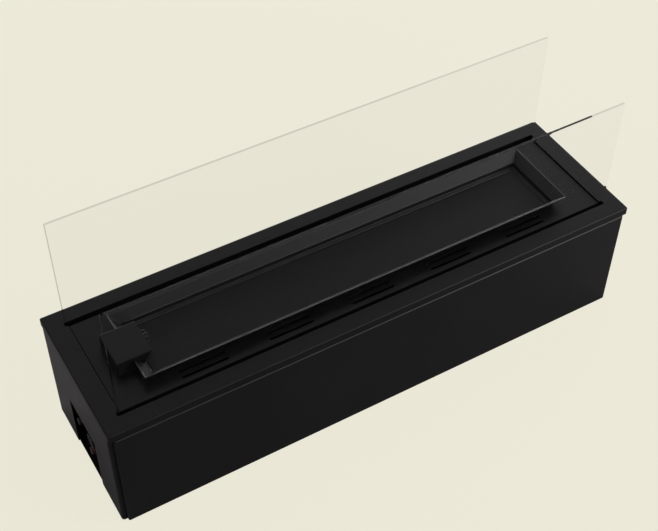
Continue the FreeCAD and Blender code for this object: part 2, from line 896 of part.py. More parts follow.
def make_pilot_gas_pipe():
    """A thin pipe from the valve to the back of the pilot."""
    start = Vector(pilot_port_x, port_y, valve_top + port_boss_height)
    under_x = pilot_back_x - lead_setback
    route = rising_route(start, pilot_pipe_climb, under_x, pilot_y, pilot_back_x)
    return bent_tube(route, pilot_pipe_radius, pilot_pipe_bend)


def make_thermocouple_lead():
    """The probe's capillary, down to its port on the valve."""
    start = Vector(thermocouple_port_x, port_y, valve_top + port_boss_height)
    under_x = pilot_back_x - lead_setback
    route = rising_route(start, probe_lead_climb, under_x, thermocouple_y, pilot_back_x)
    return bent_tube(route, probe_lead_radius, pilot_pipe_bend)


def make_ignition_lead():
    """The insulated lead from the igniter's terminal to the electrode."""
    start_x = igniter_end + igniter_terminal_length
    turn_x = start_x + ignition_lead_turn
    sleeve_back = upright_x - inner_sheet - probe_tail / 2
    under_x = sleeve_back - lead_setback
    route = [
        Vector(start_x, igniter_y, igniter_height),
        Vector(turn_x, igniter_y, igniter_height),
        Vector(turn_x, igniter_y, igniter_height + ignition_lead_climb),
        Vector(under_x, electrode_y, plenum_bottom),
        Vector(under_x, electrode_y, pilot_z),
        Vector(sleeve_back, electrode_y, pilot_z),
    ]
    return bent_tube(route, ignition_lead_radius, pilot_pipe_bend)


# Gas controls


def valve_screw_places():
    """Where screws go through the control plate into the valve."""
    return [knob_y - valve_screw_pitch / 2, knob_y + valve_screw_pitch / 2]


def make_control_plate():
    """A folded plate on the floor behind the notch that carries the valve, igniter and inlet."""
    half = control_plate_half_width
    face = box(plate_front, plate_back, -half, half, sheet, control_plate_height)
    foot = box(plate_front, plate_front + control_plate_foot, -half, half, sheet, sheet + inner_sheet)
    side_end = plate_front + control_plate_return
    side = box(plate_front, side_end, -half, inner_sheet - half, sheet, control_plate_height)
    plate = fused([face, foot, side, to_back(side)])
    through = (plate_front - sheet, plate_back + sheet)
    holes = [
        rod_x(*through, knob_y, knob_height, boss_radius + passing_fit),
        rod_x(*through, igniter_y, igniter_height, igniter_radius + passing_fit),
        rod_x(*through, inlet_y, inlet_height, inlet_radius + passing_fit),
    ]
    for y in valve_screw_places():
        holes.append(rod_x(*through, y, knob_height, screw_radius + passing_fit))
    return plate.cut(holes)


def make_gas_valve():
    """The cast valve: a rounded block with a spindle boss, ports on top and the inlet and magnet behind."""
    casting = box(plate_back, valve_back, valve_y_low, valve_y_high, valve_bottom, valve_top)
    casting = casting.makeFillet(valve_corner, edges_along(casting, "x"))
    boss = rod_x(boss_front, plate_back, knob_y, knob_height, boss_radius)
    port_top = valve_top + port_boss_height
    bosses = [
        boss,
        rod_x(valve_back, valve_back + rear_boss_length, inlet_y, knob_height, rear_boss_radius),
        rod_x(valve_back, valve_back + magnet_length, knob_y - magnet_offset, knob_height, magnet_radius),
    ]
    for x, y, radius in (
        (outlet_x, mixer_y, outlet_boss_radius),
        (pilot_port_x, port_y, port_boss_radius),
        (thermocouple_port_x, port_y, port_boss_radius),
    ):
        bosses.append(rod(Vector(x, y, knob_height), Vector(x, y, port_top), radius))
    bore_end = bush_back + knob_push + bore_end_gap
    bores = [rod_x(boss_front, bore_end, knob_y, knob_height, bush_radius + running_fit)]
    for y in valve_screw_places():
        bores.append(rod_x(plate_back, plate_front + screw_length + touch_gap, y, knob_height, screw_radius))
    return fused([casting] + bosses).cut(bores)


def make_valve_screws():
    """Screws through the control plate into the valve, either side of the knob."""
    screws = []
    for y in valve_screw_places():
        head = rod_x(plate_front - screw_head_height, plate_front, y, knob_height, screw_head_radius)
        shank = rod_x(plate_front, plate_front + screw_length, y, knob_height, screw_radius)
        screws.append(fused([head, shank]))
    return Part.makeCompound(screws)


def make_spindle_bush():
    """The bush that slides in the valve when the knob is pushed; the spindle turns in it."""
    bush = rod_x(bush_front, bush_back, knob_y, knob_height, bush_radius)
    return bush.cut(rod_x(bush_front, bush_back, knob_y, knob_height, spindle_radius + running_fit))


def make_valve_spindle():
    """The turning spindle, from inside the knob to the back of the bush."""
    return rod_x(knob_back - spindle_grip, bush_back, knob_y, knob_height, spindle_radius)


def make_control_knob():
    """A fluted knob with a crowned rim and a pointer groove."""
    shoulder = knob_radius - knob_crown
    body = revolve_x(
        [
            (knob_front, 0),
            (knob_front, shoulder),
            (knob_front + knob_crown, knob_radius),
            (knob_back, knob_radius),
            (knob_back, 0),
        ],
        knob_y,
        knob_height,
    )
    flute_ring = knob_radius + knob_flute_radius - knob_flute_depth
    bore_front = knob_back - spindle_grip - touch_gap
    cutters = [rod_x(bore_front, knob_back, knob_y, knob_height, spindle_radius + running_fit)]
    for step in range(knob_flutes):
        angle = 2 * math.pi * (step + 0.5) / knob_flutes
        y = knob_y + flute_ring * math.cos(angle)
        z = knob_height + flute_ring * math.sin(angle)
        cutters.append(rod_x(knob_front, knob_back, y, z, knob_flute_radius))
    groove_half = knob_flute_depth / 2
    groove = box(
        knob_front,
        knob_front + knob_crown,
        knob_y - groove_half,
        knob_y + groove_half,
        knob_height + knob_radius / 3,
        knob_height + knob_radius,
    )
    return body.cut(cutters + [groove])


def make_igniter_body():
    """The igniter: a sleeve through the control plate with a collar in front and a terminal behind."""
    sleeve = rod_x(igniter_front, igniter_end, igniter_y, igniter_height, igniter_radius)
    collar_front = plate_front - igniter_collar_length
    collar = rod_x(collar_front, plate_front, igniter_y, igniter_height, igniter_collar_radius)
    terminal_end = igniter_end + igniter_terminal_length
    terminal = rod_x(igniter_end, terminal_end, igniter_y, igniter_height, igniter_terminal_radius)
    bore_end = button_front + button_length + button_travel + button_end_gap
    bore = rod_x(igniter_front, bore_end, igniter_y, igniter_height, button_radius + running_fit)
    return fused([sleeve, collar, terminal]).cut(bore)


def make_igniter_nut():
    """The nut that holds the igniter from behind the control plate."""
    ends = [Vector(x, igniter_y, igniter_height) for x in (plate_back, plate_back + igniter_nut_length)]
    return nut(ends[0], ends[1], igniter_nut_flats, igniter_radius + passing_fit)


def make_igniter_button():
    """The igniter's push button, with a rounded front edge."""
    button = rod_x(button_front, button_front + button_length, igniter_y, igniter_height, button_radius)
    return button.makeFillet(button_crown, edges_in_plane(button, "x", button_front))


def make_inlet_union():
    """The gas inlet: a stub towards the notch, a hexagon on the plate and a tail for the pipe nut."""
    stub = rod_x(inlet_front, plate_front, inlet_y, inlet_height, inlet_radius)
    hex_ends = [Vector(x, inlet_y, inlet_height) for x in (plate_front - inlet_hex_length, plate_front)]
    tail = rod_x(plate_front, inlet_tail_end, inlet_y, inlet_height, inlet_radius)
    bore = rod_x(inlet_front, inlet_front + inlet_bore_depth, inlet_y, inlet_height, inlet_bore_radius)
    return fused([stub, hex_bar(hex_ends[0], hex_ends[1], inlet_hex_flats), tail]).cut(bore)


def make_inlet_locknut():
    """The locknut behind the control plate."""
    ends = [Vector(x, inlet_y, inlet_height) for x in (plate_back, plate_back + locknut_length)]
    return nut(ends[0], ends[1], locknut_flats, inlet_radius + passing_fit)


def make_inlet_pipe():
    """A hairpin pipe from the inlet round to the back of the valve."""
    loop_x = valve_back + inlet_loop
    route = [
        Vector(inlet_tail_end, inlet_y, inlet_height),
        Vector(loop_x, inlet_y, inlet_height),
        Vector(loop_x, inlet_y, knob_height),
        Vector(valve_back + rear_boss_length, inlet_y, knob_height),
    ]
    return bent_tube(route, pipe_radius, pipe_bend)


def make_main_gas_pipe():
    """The pipe from the valve up to the injector."""
    route = [
        Vector(outlet_x, mixer_y, valve_top + port_boss_height),
        Vector(outlet_x, mixer_y, mixer_z),
        Vector(injector_stub_x, mixer_y, mixer_z),
    ]
    return bent_tube(route, pipe_radius, pipe_bend)


def make_pipe_nuts():
    """The union nuts at the ends of the pipes and of the probe's capillary."""
    port_top = valve_top + port_boss_height
    small_bore = pilot_pipe_radius + passing_fit
    along_x = [
        (inlet_tail_end, pipe_nut_length, inlet_y, inlet_height),
        (valve_back + rear_boss_length, pipe_nut_length, inlet_y, knob_height),
        (injector_stub_x, -pipe_nut_length, mixer_y, mixer_z),
    ]
    pipe_bore = pipe_radius + passing_fit
    nuts = []
    for x, length, y, z in along_x:
        nuts.append(nut(Vector(x, y, z), Vector(x + length, y, z), pipe_nut_flats, pipe_bore))
    upright = [
        (outlet_x, mixer_y, pipe_nut_length, pipe_nut_flats, pipe_bore),
        (pilot_port_x, port_y, small_nut_length, small_nut_flats, small_bore),
        (thermocouple_port_x, port_y, small_nut_length, small_nut_flats, probe_lead_radius + passing_fit),
    ]
    for x, y, length, flats, bore in upright:
        nuts.append(nut(Vector(x, y, port_top), Vector(x, y, port_top + length), flats, bore))
    return Part.makeCompound(nuts)


def make_all():
    """Every piece of the heater by name."""
    front_panel = make_front_panel()
    frame_angle = make_left_frame_angle()
    frame_rail = make_front_frame_rail()
    glass = make_front_glass()
    channel = make_front_glass_channel()
    outer_strip = make_front_outer_glass_strip()
    inner_strip = make_front_inner_glass_strip()
    pads = make_front_glass_pads()
    hanger = make_front_burner_hanger()
    return {
        "floor_plate": make_floor_plate(),
        "left_end_wall": make_left_end_wall(),
        "right_end_wall": to_right(make_end_wall()),
        "front_panel": front_panel,
        "rear_panel": to_back(front_panel),
        "left_frame_angle": frame_angle,
        "right_frame_angle": to_right(frame_angle),
        "front_frame_rail": frame_rail,
        "rear_frame_rail": to_back(frame_rail),
        "top_frame": make_top_frame(),
        "front_glass": glass,
        "rear_glass": to_back(glass),
        "front_glass_channel": channel,
        "rear_glass_channel": to_back(channel),
        "front_outer_glass_strip": outer_strip,
        "rear_outer_glass_strip": to_back(outer_strip),
        "front_inner_glass_strip": inner_strip,
        "rear_inner_glass_strip": to_back(inner_strip),
        "glass_end_stops": make_glass_end_stops(),
        "front_glass_pads": pads,
        "rear_glass_pads": to_back(pads),
        "burner_deck": make_burner_deck(),
        "burner_tray": make_burner_tray(),
        "burner_plate": make_burner_plate(),
        "plate_spacers": make_plate_spacers(),
        "burner_plenum": make_burner_plenum(),
        "front_burner_hanger": hanger,
        "rear_burner_hanger": to_back(hanger),
        "mixer_tube": make_mixer_tube(),
        "injector": make_injector(),
        "injector_bracket": make_injector_bracket(),
        "main_gas_pipe": make_main_gas_pipe(),
        "pipe_nuts": make_pipe_nuts(),
        "pilot_hood": make_pilot_hood(),
        "hood_screws": make_hood_screws(),
        "pilot_bracket": make_pilot_bracket(),
        "pilot_burner": make_pilot_burner(),
        "ignition_electrode": make_ignition_electrode(),
        "thermocouple": make_thermocouple(),
        "pilot_gas_pipe": make_pilot_gas_pipe(),
        "thermocouple_lead": make_thermocouple_lead(),
        "ignition_lead": make_ignition_lead(),
        "control_plate": make_control_plate(),
        "gas_valve": make_gas_valve(),
        "valve_screws": make_valve_screws(),
        "spindle_bush": make_spindle_bush(),
        "valve_spindle": make_valve_spindle(),
        "control_knob": make_control_knob(),
        "igniter_body": make_igniter_body(),
        "igniter_nut": make_igniter_nut(),
        "igniter_button": make_igniter_button(),
        "inlet_union": make_inlet_union(),
        "inlet_locknut": make_inlet_locknut(),
        "inlet_pipe": make_inlet_pipe(),
    }


os.makedirs("parts", exist_ok=True)
for node, shape in make_all().items():
    shape.exportStep(f"parts/{node}.step")
    print(node, len(shape.Solids), "valid" if shape.isValid() else "NOT VALID", round(shape.Volume, 1))
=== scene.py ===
"""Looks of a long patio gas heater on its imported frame: finishes, pieces, studio and camera."""
import logging
import math
from abc import ABC, abstractmethod
from dataclasses import dataclass, replace
from enum import Enum

import bmesh
import bpy
import numpy as np
from mathutils import Matrix, Vector


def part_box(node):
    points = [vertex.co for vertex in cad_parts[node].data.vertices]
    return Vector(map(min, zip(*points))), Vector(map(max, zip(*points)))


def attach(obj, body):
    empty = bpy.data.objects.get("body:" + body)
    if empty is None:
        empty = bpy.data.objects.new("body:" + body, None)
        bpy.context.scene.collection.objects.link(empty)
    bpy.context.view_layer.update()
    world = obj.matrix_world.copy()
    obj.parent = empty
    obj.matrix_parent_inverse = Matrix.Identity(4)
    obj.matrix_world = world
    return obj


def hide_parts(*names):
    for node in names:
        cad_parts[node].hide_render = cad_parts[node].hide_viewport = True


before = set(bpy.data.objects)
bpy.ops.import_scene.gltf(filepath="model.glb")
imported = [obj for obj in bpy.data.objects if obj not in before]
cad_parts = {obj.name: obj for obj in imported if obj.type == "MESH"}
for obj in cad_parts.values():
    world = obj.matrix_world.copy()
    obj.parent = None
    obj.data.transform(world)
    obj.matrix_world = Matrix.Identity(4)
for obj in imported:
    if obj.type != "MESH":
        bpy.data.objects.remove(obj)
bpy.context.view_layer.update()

LOG = logging.getLogger("heater")
Colour = tuple[float, float, float]
Path = tuple[np.ndarray, np.ndarray]
Piece = bpy.types.Object
Socket = bpy.types.NodeSocket

HOUSING = "housing"
QUADRANTS = ((1, 1), (-1, 1), (-1, -1), (1, -1))
MERGE_DISTANCE = 1e-6
SHARP_ANGLE = math.radians(35)
BEVEL_ANGLE = math.radians(40)
SCREW_HEAD = 0.0024
SCREW_POINT = 0.0006
LEVEL_ANGLE = math.radians(1)
SQUARE_ON = 0.99


class Facing(Enum):
    """Which world axes a shape's two plan axes and its depth lie along."""

    UP = (0, 1, 2)
    FRONT = (0, 2, 1)
    ENDWAYS = (1, 2, 0)


class Ends(Enum):
    """How the first and last rings of a carried profile are closed."""

    CAPPED = "a flat face on each"
    JOINED = "the last ring meets the first"
    POINTED = "each has shrunk to a point"


class Grain(Enum):
    """The fine relief that a way of making leaves on a surface."""

    PEEL = "fine orange peel of a sprayed coat"
    DRAWN = "streaks along a drawn or turned length"
    SPANGLE = "crystals of hot-dip zinc"
    CAST = "pits of a die casting"
    MOULDED = "fine texture of a mould"


# Shapes


def arc(
    radius: float, offset: float, depth: float, start: float, end: float, steps: int = 6
) -> np.ndarray:
    """Points of a profile on a circle: offset + radius * cos t, depth + radius * sin t.

    Args:
        radius: The circle's radius.
        offset: Offset of its centre.
        depth: Depth of its centre.
        start: First angle in degrees.
        end: Last angle in degrees.
        steps: Steps between them.

    Returns:
        Rows of offset and depth.
    """
    turn = np.radians(np.linspace(start, end, steps + 1))
    return np.stack([offset + radius * np.cos(turn), depth + radius * np.sin(turn)], axis=1)


def circle_path(sides: int) -> Path:
    """A path that stays at the centre while its outward direction turns: (cos t, sin t).

    Args:
        sides: How many even steps of t make the turn.

    Returns:
        The path's points, all at the centre, and the outward directions.
    """
    outward = arc(1.0, 0.0, 0.0, 0, 360, sides)[:-1]
    return np.zeros_like(outward), outward


def mirrored(quarter: np.ndarray) -> np.ndarray:
    """Mirrors the plan rows of one corner into all four quadrants.

    Args:
        quarter: Rows of the right rear corner, in anticlockwise order.

    Returns:
        Rows of all corners, anticlockwise from that one.
    """
    ways = (quarter, quarter[::-1])
    return np.concatenate([ways[turn % 2] * sign for turn, sign in enumerate(QUADRANTS)])


def rectangle_path(half: tuple[float, float], corner: float, steps: int = 6) -> Path:
    """A rectangle with quarter-circle corners, each about a centre the radius inside both sides.

    A corner without a radius is one point, whose outward direction is the mitre's (1, 1).

    Args:
        half: Half the lengths along the two plan axes.
        corner: Corner radius.
        steps: Steps round each corner.

    Returns:
        The path's points and the outward direction at each.
    """
    outward = arc(1.0, 0.0, 0.0, 0, 90, steps) if corner > 0 else np.ones((1, 2))
    return mirrored(np.array(half) - corner + corner * outward), mirrored(outward)


def carried(
    path: Path, offset: np.ndarray, depth: np.ndarray, facing: Facing, centre: Vector
) -> np.ndarray:
    """Carries a profile round a path.

    Point (v, u) is path(u) + offset(v, u) * outward(u), at depth(v).

    Args:
        path: The path's points in plan and the outward direction at each.
        offset: How far out the points stand, in rings by one or rings by steps.
        depth: Each ring's place along the third axis.
        facing: Which world axes the plan and the depth lie along.
        centre: World place of the plan's centre; its depth is added too.

    Returns:
        World points in an array of rings by steps by three.
    """
    plan = path[0][None] + offset[..., None] * path[1][None]
    height = np.broadcast_to(depth[:, None, None], plan.shape[:2] + (1,))
    points = np.empty(plan.shape[:2] + (3,))
    points[..., list(facing.value)] = np.concatenate([plan, height], axis=-1)
    return points + np.array(centre)


def hexagon_rows(flats: float, start: float, end: float, rise: float, steps: int) -> np.ndarray:
    """Profile of a hexagon with a cone off each end, from just inside the flats to the corners.

    Args:
        flats: Width across the flats.
        start: Depth of one end.
        end: Depth of the other.
        rise: How far each cone reaches along the axis.
        steps: Rows in each cone.

    Returns:
        Rows of radius, depth and 1, the mark of rows that the flats cut.
    """
    cone = np.linspace(0.0, 1.0, steps)
    inside, corner = flats / 2 * 0.97, flats / math.sqrt(3)
    limit = inside + (corner - inside) * cone
    radius = np.concatenate([limit, limit[::-1]])
    depth = np.concatenate([start + rise * cone, end - rise * cone[::-1]])
    return np.stack([radius, depth, np.ones_like(radius)], axis=1)


def tube_along(line: np.ndarray, radius: float, sides: int) -> np.ndarray:
    """A round tube on a level line: line(v) + radius * (cos u * across(v) + sin u * up).

    Args:
        line: Points of the line, all at one height.
        radius: The tube's radius.
        sides: Points round it.

    Returns:
        World points in an array of rings by sides by three.
    """
    ahead = np.gradient(line, axis=0)
    ahead /= np.linalg.norm(ahead, axis=1, keepdims=True)
    up = np.array([0.0, 0.0, 1.0])
    across = np.cross(up, ahead)
    _, turn = circle_path(sides)
    return line[:, None] + radius * (turn[None, :, :1] * across[:, None] + turn[None, :, 1:] * up)


# Pieces


def in_scene(name: str, data: bpy.types.ID) -> Piece:
    """Makes an object of a mesh, a lamp or a camera, at the scene's origin."""
    piece = bpy.data.objects.new(name, data)
    bpy.context.scene.collection.objects.link(piece)
    return piece


def smooth(mesh: bpy.types.Mesh) -> None:
    """Shades a mesh smooth, apart from its sharp edges."""
    mesh.shade_smooth()
    mesh.set_sharp_from_angle(angle=SHARP_ANGLE)


def face_rows(mesh: bpy.types.Mesh, name: str) -> np.ndarray:
    """A vector of each of a mesh's faces, such as its normal.

    Args:
        mesh: The mesh.
        name: The vector's name.

    Returns:
        Rows of three.
    """
    flat = np.empty(len(mesh.polygons) * 3)
    mesh.polygons.foreach_get(name, flat)
    return flat.reshape(-1, 3)


def paint(mesh: bpy.types.Mesh, numbers: np.ndarray) -> None:
    """Gives each face of a mesh the material of that number."""
    mesh.polygons.foreach_set("material_index", numbers.astype(np.int32))


def formed(name: str, points: np.ndarray, ends: Ends) -> Piece:
    """Makes a piece from a grid of points, closed round each ring, and merges doubled points.

    A quad joins point (v, u) with (v, u + 1), (v + 1, u + 1) and (v + 1, u).

    Args:
        name: The piece's name.
        points: World points, rings by steps by three.
        ends: How the first and last rings are closed.

    Returns:
        The new piece, at the origin.
    """
    rows, columns = points.shape[:2]
    number = np.arange(rows * columns).reshape(rows, columns)
    beside, above = np.roll(number, -1, axis=1), np.roll(number, -1, axis=0)
    quads = np.stack([number, beside, np.roll(above, -1, axis=1), above], axis=-1)
    faces = quads[:rows if ends is Ends.JOINED else rows - 1].reshape(-1, 4).tolist()
    if ends is Ends.CAPPED:
        faces += number[[0, -1]].tolist()
    mesh = bpy.data.meshes.new(name)
    mesh.from_pydata(points.reshape(-1, 3).tolist(), [], faces)
    form = bmesh.new()
    form.from_mesh(mesh)
    bmesh.ops.remove_doubles(form, verts=form.verts, dist=MERGE_DISTANCE)
    bmesh.ops.dissolve_degenerate(form, edges=form.edges, dist=MERGE_DISTANCE / 10)
    bmesh.ops.recalc_face_normals(form, faces=form.faces)
    if form.calc_volume(signed=True) < 0:
        bmesh.ops.reverse_faces(form, faces=form.faces)
    form.to_mesh(mesh)
    form.free()
    smooth(mesh)
    return in_scene(name, mesh)


def framed(
    name: str, half: tuple[float, float], corner: float, profile: np.ndarray, facing: Facing,
    centre: Vector, steps: int = 6,
) -> Piece:
    """Makes a piece with flat ends: its profile carried round a rectangle.

    Args:
        name: The piece's name.
        half: Half the rectangle's lengths.
        corner: Its corner radius.
        profile: Rows of offset and depth.
        facing: Which way the piece lies.
        centre: The rectangle's centre.
        steps: Steps round each corner.

    Returns:
        The new piece.
    """
    path = rectangle_path(half, corner, steps)
    points = carried(path, profile[:, :1], profile[:, 1], facing, centre)
    return formed(name, points, Ends.CAPPED)


def turned(
    name: str, profile: np.ndarray, centre: Vector, facing: Facing = Facing.ENDWAYS,
    ends: Ends = Ends.POINTED, sides: int = 48, flats: float = 0.0, cut: np.ndarray | float = 0.0,
) -> Piece:
    """Makes a turned piece: its profile carried round its axis.

    A hexagon's radius is half its flats over the cosine of the angle from the nearest flat.

    Args:
        name: The piece's name.
        profile: Rows of radius and depth, with a third number where there are flats: 1 on the
            rows that they cut.
        centre: A point on the axis.
        facing: Which way the axis lies.
        ends: How the profile's ends are closed.
        sides: Points round it.
        flats: Width across the flats of a hexagon, or 0 for none.
        cut: How much flutes or a thread take off each radius.

    Returns:
        The new piece.
    """
    path = circle_path(sides)
    offset = profile[:, :1] - cut
    if flats:
        sixth = np.pi / 3
        turn = np.arctan2(path[1][:, 1], path[1][:, 0])
        hexagon = flats / 2 / np.cos((turn + sixth / 2) % sixth - sixth / 2)
        offset = np.where(profile[:, 2:] > 0, np.minimum(offset, hexagon), offset)
    return formed(name, carried(path, offset, profile[:, 1], facing, centre), ends)


def on_axis(node: str, facing: Facing = Facing.ENDWAYS) -> Vector:
    """The middle of a node's box, moved along its axis to depth 0.

    Args:
        node: The CAD node.
        facing: Which way its axis lies.

    Returns:
        The point.
    """
    low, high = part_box(node)
    middle = (low + high) / 2
    middle[facing.value[2]] = 0.0
    return middle


def crisp(piece: Piece, axis: int) -> Piece:
    """Keeps bends from shading into flat faces: an edge with one face square to the axis is sharp.

    Args:
        piece: The piece.
        axis: The world axis that its flat faces are square to.

    Returns:
        The same piece.
    """
    mesh = piece.data
    sizes = np.empty(len(mesh.polygons), np.int32)
    mesh.polygons.foreach_get("loop_total", sizes)
    edges = np.empty(len(mesh.loops), np.int32)
    mesh.loops.foreach_get("edge_index", edges)
    exactly = 0.9999
    flat = np.repeat(np.abs(face_rows(mesh, "normal")[:, axis]) > exactly, sizes)
    sharp = np.empty(len(mesh.edges), bool)
    mesh.edges.foreach_get("use_edge_sharp", sharp)
    sharp |= np.bincount(edges[flat], minlength=len(sharp)) == 1
    mesh.edges.foreach_set("use_edge_sharp", sharp)
    return piece


def eased(piece: Piece, width: float) -> Piece:
    """Rounds a piece's sharp edges a little and evens its shading.

    Args:
        piece: The piece.
        width: How far the rounding reaches from each edge.

    Returns:
        The same piece.
    """
    bevel = piece.modifiers.new("eased_edges", "BEVEL")
    bevel.width, bevel.segments = width, 2
    bevel.limit_method, bevel.angle_limit = "ANGLE", BEVEL_ANGLE
    even = piece.modifiers.new("even_shading", "WEIGHTED_NORMAL")
    even.keep_sharp = True
    return piece


# Finishes


class Wiring:
    """A node tree laid out afresh, with short ways to add, set and link its nodes."""

    def __init__(self, owner: bpy.types.Material | bpy.types.World, output: str) -> None:
        """Clears the tree and adds its output.

        Args:
            owner: The material or the world that the tree belongs to.
            output: The kind of its output node.
        """
        owner.use_nodes = True
        self.tree = owner.node_tree
        self.tree.nodes.clear()
        self.output = self.add(output)

    def add(self, kind: str, **constants: float | tuple[float, ...]) -> bpy.types.Node:
        """Adds a node of that kind and sets some of its sockets to constants."""
        node = self.tree.nodes.new(kind)
        self.keep(node, **constants)
        return node

    def keep(self, node: bpy.types.Node, **constants: float | tuple[float, ...]) -> None:
        """Sets sockets to constants; an underscore in a name stands for a space."""
        for name, value in constants.items():
            node.inputs[name.replace("_", " ")].default_value = value

    def link(self, source: Socket, node: bpy.types.Node, socket: str | int) -> None:
        """Links an output to a node's socket."""
        self.tree.links.new(source, node.inputs[socket])


class Recipe(Wiring):
    """The node tree of one finish: a Principled surface with textures in the object's own space."""

    def __init__(self, name: str) -> None:
        """Starts a material with that name.

        Args:
            name: The material's name.
        """
        self.material = bpy.data.materials.new(name)
        super().__init__(self.material, "ShaderNodeOutputMaterial")
        self.surface = self.add("ShaderNodeBsdfPrincipled")
        self.link(self.surface.outputs["BSDF"], self.output, "Surface")
        self.space = self.add("ShaderNodeTexCoord").outputs["Object"]

    def feed(self, socket: str, source: Socket) -> None:
        """Links a texture to a socket of the surface."""
        self.link(source, self.surface, socket)

    def noise(self, size: float, detail: float, stretch: Colour = (1.0, 1.0, 1.0)) -> Socket:
        """Cloudy noise.

        Args:
            size: About how wide a patch is.
            detail: How many finer octaves it has.
            stretch: How much denser it is along each axis.

        Returns:
            The noise, about 0.3 to 0.7.
        """
        mapping = self.add("ShaderNodeMapping", Scale=stretch)
        self.link(self.space, mapping, "Vector")
        noise = self.add("ShaderNodeTexNoise", Scale=1.0 / size, Detail=detail)
        self.link(mapping.outputs["Vector"], noise, "Vector")
        return noise.outputs["Fac"]

    def cells(self, size: float) -> Socket:
        """Crystals of about that size, each with its own grey.

        Args:
            size: About how wide a crystal is.

        Returns:
            The grey.
        """
        voronoi = self.add("ShaderNodeTexVoronoi", Scale=1.0 / size)
        self.link(self.space, voronoi, "Vector")
        grey_part = self.add("ShaderNodeSeparateColor")
        self.link(voronoi.outputs["Color"], grey_part, "Color")
        return grey_part.outputs["Red"]

    def spread(self, source: Socket, low: float, high: float) -> Socket:
        """Maps the middle of a noise to a range.

        Args:
            source: The noise.
            low: What 0.3 becomes.
            high: What 0.7 becomes.

        Returns:
            The mapped number.
        """
        mapped = self.add(
            "ShaderNodeMapRange", From_Min=0.3, From_Max=0.7, To_Min=low, To_Max=high
        )
        self.link(source, mapped, "Value")
        return mapped.outputs["Result"]

    def tint(self, share: Socket, first: Colour, second: Colour) -> Socket:
        """Mixes two colours; the mix node's colours are sockets 6 and 7, its result is output 2.

        Args:
            share: 0 for the first, 1 for the second.
            first: The first colour.
            second: The second colour.

        Returns:
            The mixed colour.
        """
        mix = self.add("ShaderNodeMix")
        mix.data_type = "RGBA"
        mix.inputs[6].default_value = (*first, 1.0)
        mix.inputs[7].default_value = (*second, 1.0)
        self.link(share, mix, 0)
        return mix.outputs[2]

    def relief(self, height: Socket, strength: float, depth: float) -> None:
        """Gives the surface a fine relief.

        Args:
            height: The relief's height.
            strength: How much of it shows.
            depth: How deep it is in metres.
        """
        bump = self.add("ShaderNodeBump", Strength=strength, Distance=depth)
        self.link(height, bump, "Height")
        self.feed("Normal", bump.outputs["Normal"])


@dataclass(frozen=True)
class Finish(ABC):
    """A finish, whose material is made at its first use."""

    name: str
    slot: str
    colour: Colour

    def material(self) -> bpy.types.Material:
        """The finish's material.

        Returns:
            The material that has the finish's name.
        """
        found = bpy.data.materials.get(self.name)
        if found is None:
            recipe = Recipe(self.name)
            self.mix(recipe)
            found = recipe.material
        return found

    def shade(self, drift: float) -> Colour:
        """The colour made lighter by a share of itself, or darker where the share is negative."""
        return tuple(min(1.0, part * (1 + drift)) for part in self.colour)

    @abstractmethod
    def mix(self, recipe: Recipe) -> None:
        """Sets the surface and its textures."""


# Size of each grain, how much of it shows and how deep it is in metres.
RELIEFS = {
    Grain.PEEL: (0.0009, 0.03, 0.00005),
    Grain.DRAWN: (0.0009, 0.14, 0.0001),
    Grain.SPANGLE: (0.002, 0.12, 0.0002),
    Grain.CAST: (0.0014, 0.35, 0.0003),
    Grain.MOULDED: (0.0006, 0.18, 0.0001),
}
CRYSTAL = 0.009


@dataclass(frozen=True)
class Solid(Finish):
    """An opaque finish: colour and gloss drift in patches, and its grain shows in a relief."""

    roughness: float
    grain: Grain
    metallic: float = 0.0
    specular: float = 0.5
    drift: float = 0.12
    patch: float = 0.09
    haze: float = 0.04
    along: Colour = (1.0, 1.0, 1.0)

    def mix(self, recipe: Recipe) -> None:
        """Sets the surface and its textures; zinc's patches are its crystals.

        Args:
            recipe: The finish's node tree.
        """
        recipe.keep(
            recipe.surface, Metallic=self.metallic, Specular_IOR_Level=self.specular, IOR=1.5
        )
        if self.grain is Grain.SPANGLE:
            patches = gloss = recipe.cells(CRYSTAL)
        else:
            patches = recipe.spread(recipe.noise(self.patch, 4.0, self.along), 0.0, 1.0)
            gloss = recipe.noise(self.patch / 5, 3.0, self.along)
        colour = recipe.tint(patches, self.shade(-self.drift), self.shade(self.drift))
        recipe.feed("Base Color", colour)
        low, high = self.roughness - self.haze, self.roughness + self.haze
        recipe.feed("Roughness", recipe.spread(gloss, low, high))
        size, strength, depth = RELIEFS[self.grain]
        recipe.relief(recipe.noise(size, 3.0, self.along), strength, depth)


@dataclass(frozen=True)
class Glass(Finish):
    """Clear glass without a mirror image, with a very faint drift of its tint."""

    ior: float
    drift: float = 0.004
    patch: float = 0.2

    def mix(self, recipe: Recipe) -> None:
        """Sets the surface and its textures.

        Args:
            recipe: The finish's node tree.
        """
        recipe.keep(
            recipe.surface, Transmission_Weight=1.0, IOR=self.ior, Specular_IOR_Level=0.0,
            Roughness=0.0, Specular_Tint=(0.0, 0.0, 0.0, 1.0),
        )
        patches = recipe.noise(self.patch, 1.0)
        recipe.feed("Base Color", recipe.tint(patches, self.colour, self.shade(self.drift)))


def grey(level: float) -> Colour:
    """A grey of that level."""
    return (level, level, level)


